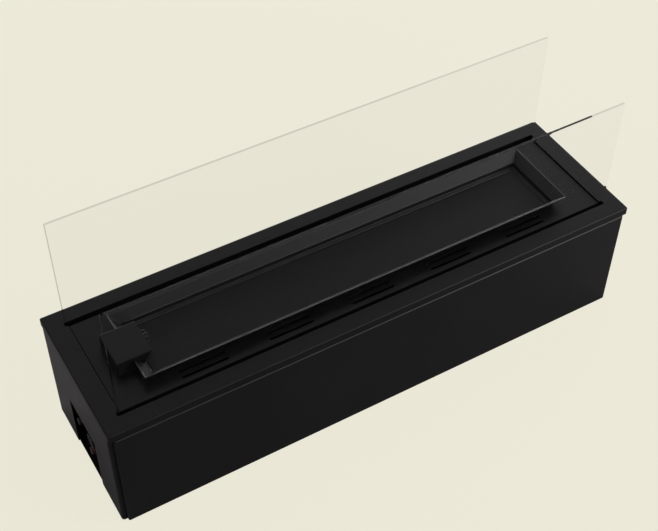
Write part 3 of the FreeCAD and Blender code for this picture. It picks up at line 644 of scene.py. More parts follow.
BLACK_COAT = Solid(
    "black_powder_coat", "black_coat", (0.0030, 0.0029, 0.0030), 0.36, Grain.PEEL,
    specular=0.056, haze=0.012,
)
EDGE_COAT = replace(BLACK_COAT, name="black_edge_coat", specular=0.12)
LIP_COAT = replace(BLACK_COAT, name="black_lip_coat", specular=0.08)
RIM_COAT = replace(BLACK_COAT, name="black_rim_coat", specular=0.30)
HEAT_COAT = replace(BLACK_COAT, name="black_heat_coat", roughness=0.44, specular=0.092)
# A lighter, glossier copy of the black coat: painted light on the tray's ledge.
LEDGE_PAINTED_LIGHTER = replace(
    BLACK_COAT, name="ledge_coat_painted_lighter", colour=grey(0.008), roughness=0.5, specular=0.15
)
ZINC_SHEET = Solid(
    "spangled_zinc", "zinc_steel", (0.14, 0.143, 0.146), 0.5, Grain.SPANGLE, 0.8,
    drift=0.18, haze=0.06,
)
# Zinc darkened nearly to black: painted shade for the plenum, hangers, bracket and spacers under
# the deck.
SHADE_PAINTED_ZINC = Solid(
    "zinc_painted_dark_as_shade", "zinc_steel", (0.02, 0.02, 0.021), 0.7, Grain.SPANGLE, 0.3,
    specular=0.1, haze=0.06,
)
PANE_GLASS = Glass("clear_pane", "wind_glass", (0.955, 0.956, 0.956), 1.02)
PANE_EDGE = Glass("polished_pane_edge", "wind_glass", grey(0.56), 1.5)
PANE_END = Glass("ground_pane_end", "wind_glass", grey(0.48), 1.02)
PAD_RUBBER = Solid("pad_silicone", "pad_rubber", grey(0.030), 0.72, Grain.MOULDED, specular=0.3)
BRASS = Solid(
    "turned_brass", "brass", (0.72, 0.52, 0.24), 0.26, Grain.DRAWN, 1.0,
    along=(40.0, 1.0, 1.0), patch=0.03,
)
# Brass darkened to a dark brown: painted shade for the inlet union and valve screws in the notch.
SHADE_PAINTED_BRASS = Solid(
    "brass_painted_dark_as_shade", "brass", (0.040, 0.017, 0.013), 0.5, Grain.DRAWN, 0.3,
    specular=0.2, drift=0.3, patch=0.01,
)
COPPER = Solid(
    "drawn_copper", "copper", (0.55, 0.27, 0.16), 0.34, Grain.DRAWN, 1.0, drift=0.2, patch=0.02
)
# Copper darkened to a dark brown: painted shade for the gas pipe inside the casing.
SHADE_PAINTED_COPPER = Solid(
    "copper_painted_dark_as_shade", "copper", (0.045, 0.026, 0.018), 0.5, Grain.DRAWN, 0.4,
    specular=0.2, drift=0.3, patch=0.02,
)
STEEL = Solid(
    "turned_steel", "bright_steel", grey(0.60), 0.28, Grain.DRAWN, 1.0, along=(40.0, 1.0, 1.0)
)
# Steel darkened nearly to black, as dark as the black coat, for the pilot burner, probe and
# electrode wire.
NEAR_BLACK_STEEL = Solid(
    "near_black_steel", "bright_steel", grey(0.008), 0.55, Grain.DRAWN, 0.2, specular=0.06
)
CAST_ALLOY = Solid("die_cast_alloy", "cast_alloy", (0.52, 0.52, 0.53), 0.45, Grain.CAST, 1.0)
# Grey and pale grey mouldings darkened nearly to black: painted shade of the notch on the knob,
# pointer, igniter and button.
SHADE_PAINTED_GREY_MOULDING = Solid(
    "grey_moulding_painted_shade", "grey_plastic", grey(0.006), 0.5, Grain.MOULDED, specular=0.08
)
SHADE_PAINTED_PALE_MOULDING = Solid(
    "pale_moulding_painted_shade", "pale_plastic", grey(0.010), 0.45, Grain.MOULDED, specular=0.08
)
CERAMIC = Solid(
    "glazed_ceramic", "white_ceramic", (0.80, 0.78, 0.72), 0.16, Grain.PEEL, drift=0.05
)
LEAD_SLEEVE = Solid(
    "lead_silicone_sleeve", "lead_silicone", (0.20, 0.030, 0.022), 0.55, Grain.MOULDED
)


def coat(piece: Piece, finish: Finish) -> Piece:
    """Gives a piece one finish in place of any other."""
    piece.data.materials.clear()
    piece.data.materials.append(finish.material())
    return piece


def dress(node: str, finish: Finish) -> Piece:
    """Gives a CAD node that stays in view its finish."""
    return coat(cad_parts[node], finish)


def place(piece: Piece, finish: Finish, *nodes: str, body: str = HOUSING) -> Piece:
    """Dresses a new piece, gives it to a body and lets it stand for CAD nodes.

    Args:
        piece: The piece.
        finish: Its finish.
        nodes: The nodes that it stands for.
        body: The body that it rides on.

    Returns:
        The same piece.
    """
    coat(piece, finish)
    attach(piece, body)
    if nodes:
        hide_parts(*nodes)
    return piece


def eased_copy(node: str, finish: Finish, width: float, body: str = HOUSING) -> Piece:
    """A merged copy of a CAD node, its flat faces whole and its edges eased, that stands for it.

    Args:
        node: The CAD node.
        finish: Its finish.
        width: How far the rounding reaches from each edge.
        body: The body that it rides on.

    Returns:
        The new piece.
    """
    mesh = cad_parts[node].data.copy()
    mesh.name = node + "_eased"
    form = bmesh.new()
    form.from_mesh(mesh)
    bmesh.ops.remove_doubles(form, verts=form.verts, dist=MERGE_DISTANCE)
    bmesh.ops.dissolve_limit(form, angle_limit=LEVEL_ANGLE, verts=form.verts, edges=form.edges)
    form.to_mesh(mesh)
    form.free()
    smooth(mesh)
    return place(eased(in_scene(mesh.name, mesh), width), finish, node, body=body)


def edge_coat(piece: Piece, finish: Finish) -> Piece:
    """Gives a dressed piece's eased edges a finish of their own: a coat is brighter there."""
    piece.data.materials.append(finish.material())
    piece.modifiers["eased_edges"].material = 1
    return piece


def bend_coat(piece: Piece, finish: Finish) -> Piece:
    """Gives a dressed piece's bends along X a finish of their own: a coat is brighter there.

    Args:
        piece: The piece.
        finish: The finish of its bends.

    Returns:
        The same piece.
    """
    piece.data.materials.append(finish.material())
    sizes = np.abs(face_rows(piece.data, "normal"))
    square, endways = sizes.max(axis=1) >= SQUARE_ON, sizes[:, 0] >= 0.1
    paint(piece.data, ~square & ~endways)
    return piece


def screw_pair(node: str, finish: Finish, facing: Facing) -> list[Piece]:
    """Two screws, one at each end of a node's box along Y: shank, domed head, six-sided recess.

    Screws along X have their heads at the left.

    Args:
        node: The CAD node of both.
        finish: Their finish.
        facing: Which way their axes lie.

    Returns:
        Both screws; the first stands for the node.
    """
    low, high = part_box(node)
    axis = facing.value[2]
    head = (high[2 - axis] - low[2 - axis]) / 2
    end, top = (low[axis], high[axis]) if facing is Facing.UP else (high[axis], low[axis])
    rise, point = (math.copysign(size, top - end) for size in (SCREW_HEAD, SCREW_POINT))
    seat, bottom = top - rise, top - rise * 0.6
    shank, recess = head * 0.57, head * 0.5
    turn = np.radians(np.linspace(0, 62, 7))
    dome_radius = recess + (head - recess) * np.cos(turn)
    dome_depth = seat + rise * (0.35 + 0.65 * np.sin(turn) / np.sin(turn[-1]))
    profile = np.concatenate([
        [(0.0, end, 0), (shank * 0.8, end, 0), (shank, end + point, 0)],
        [(shank, seat, 0), (head, seat, 0)],
        np.stack([dome_radius, dome_depth, np.zeros_like(turn)], axis=1),
        [(recess, top, 1), (recess, bottom, 1), (0.0, bottom, 0)],
    ])
    flats, pieces = 2 * recess * math.cos(math.pi / 6), []
    for number, y in enumerate((low.y + head, high.y - head), 1):
        centre = on_axis(node, facing)
        centre.y = y
        piece = turned(f"{node[:-1]}_{number}", profile, centre, facing, sides=36, flats=flats)
        pieces.append(place(piece, finish, *((node,) if number == 1 else ())))
    return pieces


def hex_nut(name: str, node: str, finish: Finish, flats: float, bore: float) -> Piece:
    """A nut along X: chamfered hexagon outside, chamfered bore inside, carried round its axis.

    Args:
        name: The piece's name.
        node: The CAD node that it stands for.
        finish: Its finish.
        flats: Width across the flats.
        bore: The bore's radius.

    Returns:
        The new piece.
    """
    low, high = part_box(node)
    chamfer, rise = 0.0006, (flats / math.sqrt(3) - flats / 2) * 0.6
    wide = bore + chamfer
    profile = np.concatenate([
        hexagon_rows(flats, low.x, high.x, rise, 5),
        [(wide, high.x, 0), (bore, high.x - chamfer, 0)],
        [(bore, low.x + chamfer, 0), (wide, low.x, 0)],
    ])
    piece = turned(name, profile, on_axis(node), ends=Ends.JOINED, sides=72, flats=flats)
    return place(piece, finish, node)


# Sub-assemblies


class SubAssembly(ABC):
    """Pieces that are built and dressed together."""

    @abstractmethod
    def build(self) -> list[Piece]:
        """Builds and dresses the pieces and returns them."""


@dataclass
class Casing(SubAssembly):
    """The sheet casing: floor, end walls, front and rear pans and the top frame with its lip."""

    frame_sheet: float = 0.002
    lip_bend: float = 0.0025
    pan_sheet: float = 0.0015
    pan_bend: float = 0.003
    slot_end_room: float = 0.0016
    slot_side_room: float = 0.001
    pane_lap: float = 0.0032
    edge_ease: float = 0.00035

    def build(self) -> list[Piece]:
        """Builds and dresses the casing.

        Returns:
            Its pieces.
        """
        pieces = [self.top_frame(), self.pan("front_panel"), self.pan("rear_panel")]
        for node in ("left_end_wall", "right_end_wall", "floor_plate"):
            pieces.append(eased_copy(node, BLACK_COAT, self.edge_ease))
        for node in (
            "left_frame_angle", "right_frame_angle", "front_frame_rail", "rear_frame_rail",
        ):
            pieces.append(dress(node, ZINC_SHEET))
        return pieces

    def top_frame(self) -> Piece:
        """The frame: lip, bend and flat rings round its outline, then down the opening's outline.

        Two more points of the outline stand beside each slot's end, so that no flat face crosses
        the slot. The opening's corner has the end of the deck's side and two corners of the
        pane's slot, and each point of the outline's corner meets one of them.

        Returns:
            The new piece.
        """
        low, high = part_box("top_frame")
        pane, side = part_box("rear_glass")[1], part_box("burner_deck")[1].y
        sheet, bend, steps = self.frame_sheet, self.lip_bend, 8
        under, slot_end = high.z - sheet, pane.x + self.slot_end_room
        bent = rectangle_path((high.x, high.y), bend, steps)
        path, outward = (rows[:steps + 1] for rows in bent)
        outline = (
            mirrored(np.concatenate([[(high.x, side - sheet), (high.x, side)], path])),
            mirrored(np.concatenate([[(1.0, 0.0), (1.0, 0.0)], outward])),
        )
        profile = np.concatenate([
            [(-sheet, under), (-sheet, low.z), (0.0, low.z)],
            arc(bend, -bend, high.z - bend, 0, 90, steps),
        ])
        rings = carried(outline, profile[:, :1], profile[:, 1], Facing.UP, Vector())
        opening = np.array([
            (pane.x - self.pane_lap, side),
            (slot_end, side),
            (slot_end, pane.y + self.slot_side_room),
        ])
        rim = mirrored(np.repeat(opening, [1, 6, 4], axis=0))
        level = np.ones((len(rim), 1))
        inner = [np.concatenate([rim, level * height], axis=1) for height in (high.z, under)]
        piece = formed("top_frame_sheet", np.concatenate([rings, inner]), Ends.JOINED)
        return bend_coat(place(crisp(piece, 2), BLACK_COAT, "top_frame"), LIP_COAT)

    def pan(self, node: str) -> Piece:
        """A panel with turned edges: inner face, rim, bend and outer face round its outline.

        Args:
            node: The panel's CAD node.

        Returns:
            The new piece.
        """
        low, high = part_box(node)
        face, rim = (low.y, high.y) if low.y < 0 else (high.y, low.y)
        bend, sheet, deep = self.pan_bend, self.pan_sheet, abs(rim - face)
        profile = np.concatenate([
            arc(bend - sheet, -bend, bend, -90, 0),
            [(-sheet, deep), (0.0, deep)],
            arc(bend, -bend, bend, 0, -90),
        ])
        profile = profile * (1.0, math.copysign(1.0, rim - face)) + (0.0, face)
        half, way = ((high.x - low.x) / 2, (high.z - low.z) / 2), Facing.FRONT
        piece = crisp(framed(node + "_pan", half, bend, profile, way, on_axis(node, way)), 1)
        return bend_coat(place(piece, BLACK_COAT, node), EDGE_COAT)


@dataclass
class GlassScreen(SubAssembly):
    """The two lift-out panes, with ground edges, and the strips, stops and pads that hold them."""

    arris: float = 0.0006
    corner: float = 0.0012
    polished: float = 0.0039
    pad_ease: float = 0.0005

    def build(self) -> list[Piece]:
        """Builds and dresses the screen.

        Returns:
            Its pieces.
        """
        pieces = [self.pane("front_glass"), self.pane("rear_glass")]
        for side in ("front", "rear"):
            for kind in ("glass_channel", "outer_glass_strip", "inner_glass_strip"):
                pieces.append(dress(f"{side}_{kind}", BLACK_COAT))
            pieces.append(eased_copy(f"{side}_glass_pads", PAD_RUBBER, self.pad_ease))
        pieces.append(dress("glass_end_stops", BLACK_COAT))
        return pieces

    def pane(self, node: str) -> Piece:
        """A pane: two faces joined by a flat edge with an arris each side, round its outline.

        The middle of its level edges is polished, and its left end is ground. No lamp is hidden
        or mirrored by it.

        Args:
            node: The pane's CAD node.

        Returns:
            The new piece.
        """
        low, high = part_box(node)
        arris, middle, half = self.arris, (low.y + high.y) / 2, self.polished / 2
        profile = np.array([
            (-arris, low.y), (0.0, low.y + arris), (0.0, middle - half),
            (0.0, middle + half), (0.0, high.y - arris), (-arris, high.y),
        ])
        plan, way = ((high.x - low.x) / 2, (high.z - low.z) / 2), Facing.FRONT
        piece = framed(node + "_pane", plan, self.corner, profile, way, on_axis(node, way), 3)
        place(piece, PANE_GLASS, node, body=node)
        mesh = piece.data
        mesh.materials.append(PANE_EDGE.material())
        mesh.materials.append(PANE_END.material())
        normals, facing = face_rows(mesh, "normal"), 0.6
        centred = np.abs(face_rows(mesh, "center")[:, 1] - middle) < half
        polished = (np.abs(normals[:, 2]) > facing) & centred
        paint(mesh, np.where(polished, 1, np.where(normals[:, 0] < -facing, 2, 0)))
        mesh.shade_flat()
        piece.visible_shadow = piece.visible_glossy = False
        return piece


@dataclass
class Burner(SubAssembly):
    """The deck with its vents, the flared tray, the burner plate and the gas way under it."""

    tray_sheet: float = 0.0015
    ledge: float = 0.006
    flare: float = 0.0152
    hood_gap: float = 0.0003
    edge_ease: float = 0.0003
    rim_ease: float = 0.0009
    plate_arris: float = 0.0003
    plate_corner: float = 0.0015
    mixer_neck: float = 0.011
    mixer_bell: float = 0.012

    def build(self) -> list[Piece]:
        """Builds and dresses the burner.

        Returns:
            Its pieces.
        """
        pieces = [self.tray(), self.plate(), self.mixer_tube(), self.injector()]
        pieces.append(eased_copy("burner_deck", BLACK_COAT, self.edge_ease))
        hangers = ("front_burner_hanger", "rear_burner_hanger")
        # The parts under the deck get the darkened zinc: painted shade under the deck.
        for node in ("burner_plenum", *hangers, "injector_bracket", "plate_spacers"):
            pieces.append(dress(node, SHADE_PAINTED_ZINC))
        # The gas pipe's copper is darkened: painted shade inside the casing.
        pieces.append(dress("main_gas_pipe", SHADE_PAINTED_COPPER))
        pieces.append(eased_copy("pipe_nuts", BRASS, self.edge_ease))
        return pieces

    def tray(self) -> Piece:
        """The tray: ledge, wall and flare carried round a mitred rectangle.

        Where a point of the path lies in the hood's gap, the flare's rings come down to the top
        of the wall.

        Returns:
            The new piece.
        """
        low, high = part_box("burner_tray")
        sheet, flare = self.tray_sheet, self.flare
        wall_x, wall_y = high.x - flare, high.y - flare
        foot, floor = high.z - flare, low.z + sheet
        slant, lip = sheet * math.sqrt(2), -sheet - self.ledge
        profile = np.array([
            (0.0, low.z),
            (0.0, foot),
            (flare, high.z),
            (flare - slant, high.z),
            (-sheet, foot + slant - sheet),
            (-sheet, foot),
            (-sheet, floor),
            (lip, floor),
            (lip, low.z),
        ])
        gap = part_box("pilot_hood")[1].y + self.hood_gap
        path, outward = rectangle_path((wall_x, wall_y), 0.0)
        cheek = np.array([(-wall_x, gap), (-wall_x, gap), (-wall_x, -gap), (-wall_x, -gap)])
        leftwards = np.broadcast_to((-1.0, 0.0), (4, 2))
        outline = (
            np.concatenate([path[:2], cheek, path[2:]]),
            np.concatenate([outward[:2], leftwards, outward[2:]]),
        )
        points = carried(outline, profile[:, :1], profile[:, 1], Facing.UP, Vector())
        dropped = points[:, 3:5]
        dropped[..., 2] = np.minimum(dropped[..., 2], foot)
        dropped[2, :, 0], dropped[3:5, :, 0] = -wall_x, -wall_x + sheet
        piece = formed("burner_tray_sheet", points, Ends.JOINED)
        edge_coat(place(eased(piece, self.rim_ease), HEAT_COAT, "burner_tray"), RIM_COAT)
        mesh = piece.data
        # The ledge's top faces get the lighter copy of the coat: painted light on the ledge.
        mesh.materials.append(LEDGE_PAINTED_LIGHTER.material())
        level = face_rows(mesh, "normal")[:, 2] > SQUARE_ON
        paint(mesh, np.where(level & (face_rows(mesh, "center")[:, 2] < foot), 2, 0))
        return piece

    def plate(self) -> Piece:
        """The burner plate: two faces joined by an edge with a small arris, round its outline.

        Returns:
            The new piece.
        """
        low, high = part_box("burner_plate")
        arris = self.plate_arris
        profile = np.array([
            (-arris, low.z), (0.0, low.z + arris), (0.0, high.z - arris), (-arris, high.z),
        ])
        half = (high.x, high.y)
        piece = framed(
            "burner_plate_sheet", half, self.plate_corner, profile, Facing.UP, Vector(), 4
        )
        return place(piece, BLACK_COAT, "burner_plate")

    def mixer_tube(self) -> Piece:
        """The mixer: a tube whose mouth flares as the square of the distance from its neck.

        Returns:
            The new piece.
        """
        low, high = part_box("mixer_tube")
        bell, neck = (high.y - low.y) / 2, self.mixer_neck
        share = np.linspace(1.0, 0.0, 9)
        radius, depth = neck + (bell - neck) * share**2, low.x + self.mixer_bell * (1 - share)
        outer = np.concatenate([np.stack([radius, depth], axis=1), [(neck, high.x)]])
        profile = np.concatenate([outer, outer[::-1] - (self.tray_sheet, 0.0)])
        piece = turned("mixer_tube_bell", profile, on_axis("mixer_tube"), ends=Ends.JOINED)
        return place(piece, ZINC_SHEET, "mixer_tube")

    def injector(self) -> Piece:
        """The gas jet: stub, chamfered hexagon and drilled cone carried round its axis.

        Returns:
            The new piece.
        """
        low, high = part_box("injector")
        hex_start, hex_end, drill_end = high.x - 0.018, high.x - 0.010, high.x - 0.003
        stub, ease, shoulder, corner, chamfer = 0.005, 0.0005, 0.0068, 0.0081, 0.0008
        cone, nose, drill = 0.004, 0.002, 0.0006
        profile = np.array([
            (0.0, low.x, 0), (stub - ease, low.x, 0), (stub, low.x + ease, 0),
            (stub, hex_start, 0), (shoulder, hex_start, 1), (corner, hex_start + chamfer, 1),
            (corner, hex_end - chamfer, 1), (shoulder, hex_end, 1), (cone, hex_end, 0),
            (nose, high.x, 0), (drill, high.x, 0), (drill, drill_end, 0), (0.0, drill_end, 0),
        ])
        piece = turned("injector_jet", profile, on_axis("injector"), flats=0.014)
        return place(piece, BRASS, "injector")


@dataclass
class Pilot(SubAssembly):
    """The pilot under its hood: bracket, burner, electrode, probe, pipes and screws."""

    edge_ease: float = 0.00025
    burner_ease: float = 0.0002
    probe_radius: float = 0.0025
    collar_place: float = 0.0065
    collar_length: float = 0.005
    collar_ease: float = 0.0004
    sleeve_radius: float = 0.003
    sleeve_length: float = 0.022
    wire_radius: float = 0.001
    head_length: float = 0.013

    def build(self) -> list[Piece]:
        """Builds and dresses the pilot.

        Returns:
            Its pieces.
        """
        return [
            edge_coat(eased_copy("pilot_hood", BLACK_COAT, self.edge_ease), EDGE_COAT),
            eased_copy("pilot_bracket", ZINC_SHEET, self.edge_ease),
            eased_copy("pilot_burner", NEAR_BLACK_STEEL, self.burner_ease),
            self.probe(),
            *self.electrode(),
            *screw_pair("hood_screws", ZINC_SHEET, Facing.UP),
            dress("pilot_gas_pipe", STEEL),
            dress("thermocouple_lead", COPPER),
            dress("ignition_lead", LEAD_SLEEVE),
        ]

    def probe(self) -> Piece:
        """The flame probe: a rod with a round tip and a collar, carried round its axis.

        Returns:
            The new piece.
        """
        low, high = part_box("thermocouple")
        radius, collar, ease = self.probe_radius, (high.z - low.z) / 2, self.collar_ease
        start = low.x + self.collar_place
        end = start + self.collar_length
        profile = np.concatenate([
            [(0.0, low.x), (radius, low.x), (radius, start), (collar - ease, start)],
            [(collar, start + ease), (collar, end - ease), (collar - ease, end), (radius, end)],
            arc(radius, 0.0, high.x - radius, 0, 90, 8),
        ])
        piece = turned("thermocouple_probe", profile, on_axis("thermocouple"))
        return place(piece, NEAR_BLACK_STEEL, "thermocouple")

    def electrode(self) -> list[Piece]:
        """The electrode: a glazed sleeve with rounded ends, and a wire that bends to the pilot.

        The wire's bend is a quadratic curve: (1 - t)^2 start + 2 t (1 - t) corner + t^2 end.

        Returns:
            The sleeve and the wire.
        """
        low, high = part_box("ignition_electrode")
        radius, back, end = self.sleeve_radius, low.x, low.x + self.sleeve_length
        back_round, front_round = 0.0006, 0.0009
        centre = Vector((0.0, low.y + radius, (low.z + high.z) / 2))
        profile = np.concatenate([
            [(0.0, back), (radius - back_round, back)],
            arc(back_round, radius - back_round, back + back_round, -90, 0, 4),
            arc(front_round, radius - front_round, end - front_round, 0, 90, 5),
            [(0.0, end)],
        ])
        sleeve = turned("electrode_sleeve", profile, centre)
        place(sleeve, CERAMIC, "ignition_electrode")
        start = np.array([end - self.wire_radius, centre.y, centre.z])
        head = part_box("pilot_burner")[1].x
        corner = np.array([head - self.head_length / 2, centre.y, centre.z])
        tip = np.array([head, high.y - self.wire_radius, centre.z])
        share = np.linspace(0.0, 1.0, 9)[:, None]
        before, after = corner - (0.003, 0.0, 0.0), corner + (tip - corner) * 0.35
        bend = (1 - share) ** 2 * before + 2 * share * (1 - share) * corner + share**2 * after
        line = np.concatenate([start[None], bend, tip[None]])
        wire = formed("electrode_wire", tube_along(line, self.wire_radius, 16), Ends.CAPPED)
        return [sleeve, place(wire, NEAR_BLACK_STEEL)]


@dataclass
class Controls(SubAssembly):
    """The control plate behind the notch with its valve, knob, igniter and gas inlet.

    Each nut's pair of numbers is its flats and the radius of its bore.
    """

    flutes: int = 14
    flute_depth: float = 0.0009
    knob_crown: float = 0.0012
    knob_chamfer: float = 0.0006
    spindle_bore: float = 0.00405
    spindle_grip: float = 0.0088
    button_crown: float = 0.0015
    button_chamfer: float = 0.0004
    thread_pitch: float = 0.00134
    thread_cut: float = 0.0007
    thread_end: float = 0.0006
    inlet_radius: float = 0.00658
    inlet_bore: float = 0.004
    inlet_drilling: float = 0.010
    inlet_flats: float = 0.022
    inlet_hexagon: float = 0.005
    igniter_nut: tuple[float, float] = (0.024, 0.0091)
    inlet_locknut: tuple[float, float] = (0.021, 0.00668)
    edge_ease: float = 0.0003
    spindle_ease: float = 0.0004

    def build(self) -> list[Piece]:
        """Builds and dresses the controls.

        Returns:
            Their pieces.
        """
        ease = self.edge_ease
        return [
            *self.knob(),
            self.button(),
            self.union(),
            hex_nut("igniter_hex_nut", "igniter_nut", STEEL, *self.igniter_nut),
            hex_nut("inlet_hex_locknut", "inlet_locknut", BRASS, *self.inlet_locknut),
            eased_copy("control_plate", BLACK_COAT, ease),
            eased_copy("gas_valve", CAST_ALLOY, ease),
            # The igniter body is darkened nearly to black: painted shade in the notch.
            eased_copy("igniter_body", SHADE_PAINTED_GREY_MOULDING, ease),
            eased_copy("spindle_bush", BRASS, ease, body="spindle_bush"),
            eased_copy("valve_spindle", STEEL, self.spindle_ease, body="control_knob"),
            dress("inlet_pipe", COPPER),
            # The valve screws' brass is darkened: painted shade in the notch.
            *screw_pair("valve_screws", SHADE_PAINTED_BRASS, Facing.ENDWAYS),
        ]

    def knob(self) -> list[Piece]:
        """The knob: bored, fluted and dished, with a pointer, pale on the real heater, laid into
        its face; knob and pointer are darkened nearly to black as painted shade.

        The flutes take depth * ((1 - cos(count * t)) / 2)^4 off the radius, less over the crown.

        Returns:
            The knob and its pointer.
        """
        low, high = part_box("control_knob")
        centre, body = on_axis("control_knob"), "control_knob"
        radius, crown, chamfer = (high.y - low.y) / 2, self.knob_crown, self.knob_chamfer
        bore, bottom = self.spindle_bore, high.x - self.spindle_grip
        dish = [(0.72, 0.0), (0.66, 0.0004), (0.3, 0.0007), (0.0, 0.0008)]
        profile = np.concatenate([
            [(0.0, bottom), (bore, bottom), (bore, high.x)],
            [(radius - chamfer, high.x), (radius, high.x - chamfer)],
            arc(crown, radius - crown, low.x + crown, 0, -90, 6),
            np.array(dish) * (radius, 1.0) + (0.0, low.x),
        ])
        sides = self.flutes * 12
        wave = np.cos(self.flutes * np.linspace(0.0, 2 * np.pi, sides, endpoint=False))
        fade = np.zeros((len(profile), 1))
        fade[4:11, 0] = (1.0, 1.0, 0.97, 0.9, 0.75, 0.5, 0.2)
        cut = fade * (self.flute_depth * ((1 - wave) / 2) ** 4)[None]
        knob = turned("fluted_knob", profile, centre, sides=sides, cut=cut)
        half, root, arris = (0.0009, radius * 0.21), 0.0015, 0.0002
        pointer = framed(
            "knob_pointer", half, 0.0005,
            np.array([(0.0, low.x + root), (0.0, low.x + arris), (-arris, low.x)]),
            Facing.ENDWAYS, centre + Vector((0.0, 0.0, radius * 0.66)), 3,
        )
        # Knob and pointer are darkened nearly to black: painted shade in the notch.
        return [
            place(knob, SHADE_PAINTED_GREY_MOULDING, "control_knob", body=body),
            place(pointer, SHADE_PAINTED_PALE_MOULDING, body=body),
        ]

    def button(self) -> Piece:
        """The igniter's button: a rod with a round edge and a dished front, round its axis.

        Returns:
            The new piece.
        """
        node = "igniter_button"
        low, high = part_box(node)
        radius, crown, chamfer = (high.y - low.y) / 2, self.button_crown, self.button_chamfer
        dish = [(0.5, 0.0003), (0.25, 0.00045), (0.0, 0.0005)]
        profile = np.concatenate([
            [(0.0, high.x), (radius - chamfer, high.x), (radius, high.x - chamfer)],
            arc(crown, radius - crown, low.x + crown, 0, -90, 6),
            np.array(dish) * (radius, 1.0) + (0.0, low.x),
        ])
        piece = turned("igniter_push_button", profile, on_axis(node))
        # The button is darkened nearly to black: painted shade in the notch.
        return place(piece, SHADE_PAINTED_PALE_MOULDING, node, body=node)

    def union(self) -> Piece:
        """The gas inlet: bored and threaded stub, chamfered hexagon and threaded tail.

        The thread is cut into the rows that have its full radius: a triangle wave of the place
        along it over its pitch, less the share of the turn.

        Returns:
            The new piece.
        """
        low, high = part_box("inlet_union")
        hex_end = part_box("control_plate")[0].x
        hex_start, flats, sides = hex_end - self.inlet_hexagon, self.inlet_flats, 60
        radius, bore, root = self.inlet_radius, self.inlet_bore, self.inlet_radius - self.thread_cut
        bottom, chamfer, cone, end = low.x + self.inlet_drilling, 0.0004, 0.0010, self.thread_end
        stub, tail = (
            np.stack(np.broadcast_arrays(radius, np.linspace(*run), 0.0), axis=1)
            for run in ((low.x + end, hex_start - end, 88), (hex_end + end, high.x - end, 80))
        )
        profile = np.concatenate([
            [(0.0, bottom, 0), (bore, bottom, 0), (bore, low.x + chamfer, 0)],
            [(bore + chamfer, low.x, 0), (root, low.x, 0)],
            stub,
            [(root, hex_start, 0)],
            hexagon_rows(flats, hex_start, hex_end, cone, 4),
            [(root, hex_end, 0)],
            tail,
            [(root, high.x, 0), (0.0, high.x, 0)],
        ])
        phase = profile[:, 1:2] / self.thread_pitch - np.arange(sides)[None] / sides
        thread = self.thread_cut * (1 - np.abs(2 * (phase % 1.0) - 1))
        cut = np.where(profile[:, :1] == radius, thread, 0.0)
        centre = on_axis("inlet_union")
        piece = turned("threaded_inlet_union", profile, centre, sides=sides, flats=flats, cut=cut)
        # The union's brass is darkened: painted shade in the notch.
        return place(piece, SHADE_PAINTED_BRASS, "inlet_union")


# Studio


@dataclass(frozen=True)
class SoftBox:
    """A soft white lamp: where it stands, how large it is and its power."""

    name: str
    stand: Colour
    size: tuple[float, float]
    power: float


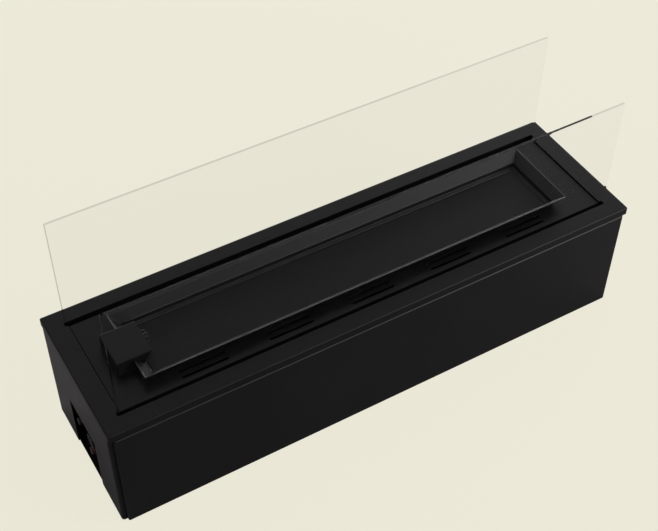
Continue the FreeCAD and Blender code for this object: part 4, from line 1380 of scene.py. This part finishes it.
@dataclass
class Studio:
    """Cream floor and surround, soft boxes and the camera."""

    cream: Colour = (0.839, 0.815, 0.687)
    paper: Colour = (0.47, 0.44, 0.44)
    white: Colour = (1.0, 1.0, 1.0)
    glow_share: float = 0.92
    glow_level: float = 1.03
    floor_reach: float = 30.0
    floor_level: float = -0.0005
    lamp_aim: Colour = (0.0, 0.0, 0.2)
    eye: Colour = (-0.7774, -1.2431, 1.7547)
    aim: Colour = (-0.0313, 0.0046, 0.2286)
    roll: float = 0.667
    lens: float = 69.306
    sensor: float = 36.0
    boxes: tuple[SoftBox, ...] = (
        SoftBox("sky_right", (2.4, 1.5, 2.1), (1.8, 1.8), 8.8),
        SoftBox("sky_high", (0.7, 1.3, 3.1), (2.6, 1.6), 15.5),
        SoftBox("low_back", (0.6, 2.7, 0.75), (3.6, 1.1), 76.0),
        SoftBox("low_corner", (2.3, 1.9, 0.55), (1.8, 0.8), 31.0),
        SoftBox("left_back", (-2.2, 1.9, 1.4), (2.0, 1.4), 7.0),
        SoftBox("left_side", (-2.2, -0.5, 1.2), (1.6, 1.2), 20.0),
        SoftBox("far_right", (2.4, -1.9, 1.7), (2.2, 1.8), 116.0),
        SoftBox("front_low", (0.9, -2.9, 0.8), (2.6, 1.0), 68.0),
    )

    def build(self) -> None:
        """Sets up the floor, the surround, the lamps and the camera."""
        self.floor()
        self.surround()
        for box in self.boxes:
            self.lamp(box)
        self.camera()
        bpy.context.scene.view_settings.view_transform = "Standard"

    def show(self, wiring: Wiring, share: float, elsewhere: Socket, shown: Socket) -> None:
        """Mixes in a shader by a share where the camera sees it, also through glass.

        Args:
            wiring: The tree that both shaders are in.
            share: The share, which is 0 for all other rays.
            elsewhere: The shader that the rest comes from.
            shown: The shader that the camera sees.
        """
        rays = wiring.add("ShaderNodeLightPath")
        either, part = wiring.add("ShaderNodeMath"), wiring.add("ShaderNodeMath")
        either.operation, part.operation = "MAXIMUM", "MULTIPLY"
        wiring.link(rays.outputs["Is Camera Ray"], either, 0)
        wiring.link(rays.outputs["Is Transmission Ray"], either, 1)
        wiring.link(either.outputs["Value"], part, 0)
        part.inputs[1].default_value = share
        mix = wiring.add("ShaderNodeMixShader")
        wiring.link(part.outputs["Value"], mix, "Fac")
        wiring.link(elsewhere, mix, 1)
        wiring.link(shown, mix, 2)
        wiring.link(mix.outputs["Shader"], wiring.output, "Surface")

    def floor(self) -> None:
        """A wide floor of cream paper that keeps the object's shadow under its even glow."""
        mesh = bpy.data.meshes.new("studio_floor")
        reach, level = self.floor_reach, self.floor_level
        corners = [(reach * x, reach * y, level) for x, y in QUADRANTS]
        mesh.from_pydata(corners, [], [(2, 3, 0, 1)])
        in_scene("studio_floor", mesh)
        material = bpy.data.materials.new("cream_paper")
        wiring = Wiring(material, "ShaderNodeOutputMaterial")
        paper = wiring.add("ShaderNodeBsdfDiffuse", Color=(*self.paper, 1.0))
        glow = wiring.add("ShaderNodeEmission", Color=(*self.cream, 1.0), Strength=self.glow_level)
        self.show(wiring, self.glow_share, paper.outputs["BSDF"], glow.outputs["Emission"])
        mesh.materials.append(material)

    def surround(self) -> None:
        """The world: cream where it is seen, white where a gloss mirrors it, no light elsewhere."""
        world = bpy.data.worlds.new("studio_surround")
        bpy.context.scene.world = world
        wiring = Wiring(world, "ShaderNodeOutputWorld")
        mirrored = wiring.add("ShaderNodeBackground", Color=(*self.white, 1.0))
        rays = wiring.add("ShaderNodeLightPath")
        wiring.link(rays.outputs["Is Glossy Ray"], mirrored, "Strength")
        shown = wiring.add("ShaderNodeBackground", Color=(*self.cream, 1.0))
        self.show(wiring, 1.0, mirrored.outputs["Background"], shown.outputs["Background"])

    def lamp(self, box: SoftBox) -> None:
        """Hangs one soft box, which the camera doesn't see.

        Args:
            box: Its place, size and power.
        """
        light = bpy.data.lights.new(box.name, "AREA")
        light.shape = "RECTANGLE"
        light.size, light.size_y = box.size
        light.energy = box.power
        lamp = in_scene(box.name, light)
        lamp.visible_camera = lamp.visible_transmission = False
        stand = Vector(box.stand)
        lamp.location = stand
        lamp.rotation_euler = (Vector(self.lamp_aim) - stand).to_track_quat("-Z", "Y").to_euler()

    def camera(self) -> None:
        """Stands the camera where the photograph was taken from."""
        data = bpy.data.cameras.new("photo_camera")
        data.lens, data.sensor_width, data.sensor_fit = self.lens, self.sensor, "HORIZONTAL"
        camera = in_scene("photo_camera", data)
        eye = Vector(self.eye)
        turn = (Vector(self.aim) - eye).to_track_quat("-Z", "Y").to_matrix().to_4x4()
        roll = Matrix.Rotation(math.radians(self.roll), 4, "Z")
        camera.matrix_world = Matrix.Translation(eye) @ turn @ roll
        bpy.context.scene.camera = camera


def main() -> None:
    """Builds and reports the heater's pieces in order and sets up the studio."""
    logging.basicConfig(level=logging.INFO, format="%(name)s: %(message)s")
    for assembly in (Casing(), GlassScreen(), Burner(), Pilot(), Controls()):
        for piece in assembly.build():
            faces = len(piece.data.polygons)
            LOG.info("%s: %s, %d faces", type(assembly).__name__, piece.name, faces)
    Studio().build()


if __name__ == "__main__":
    main()
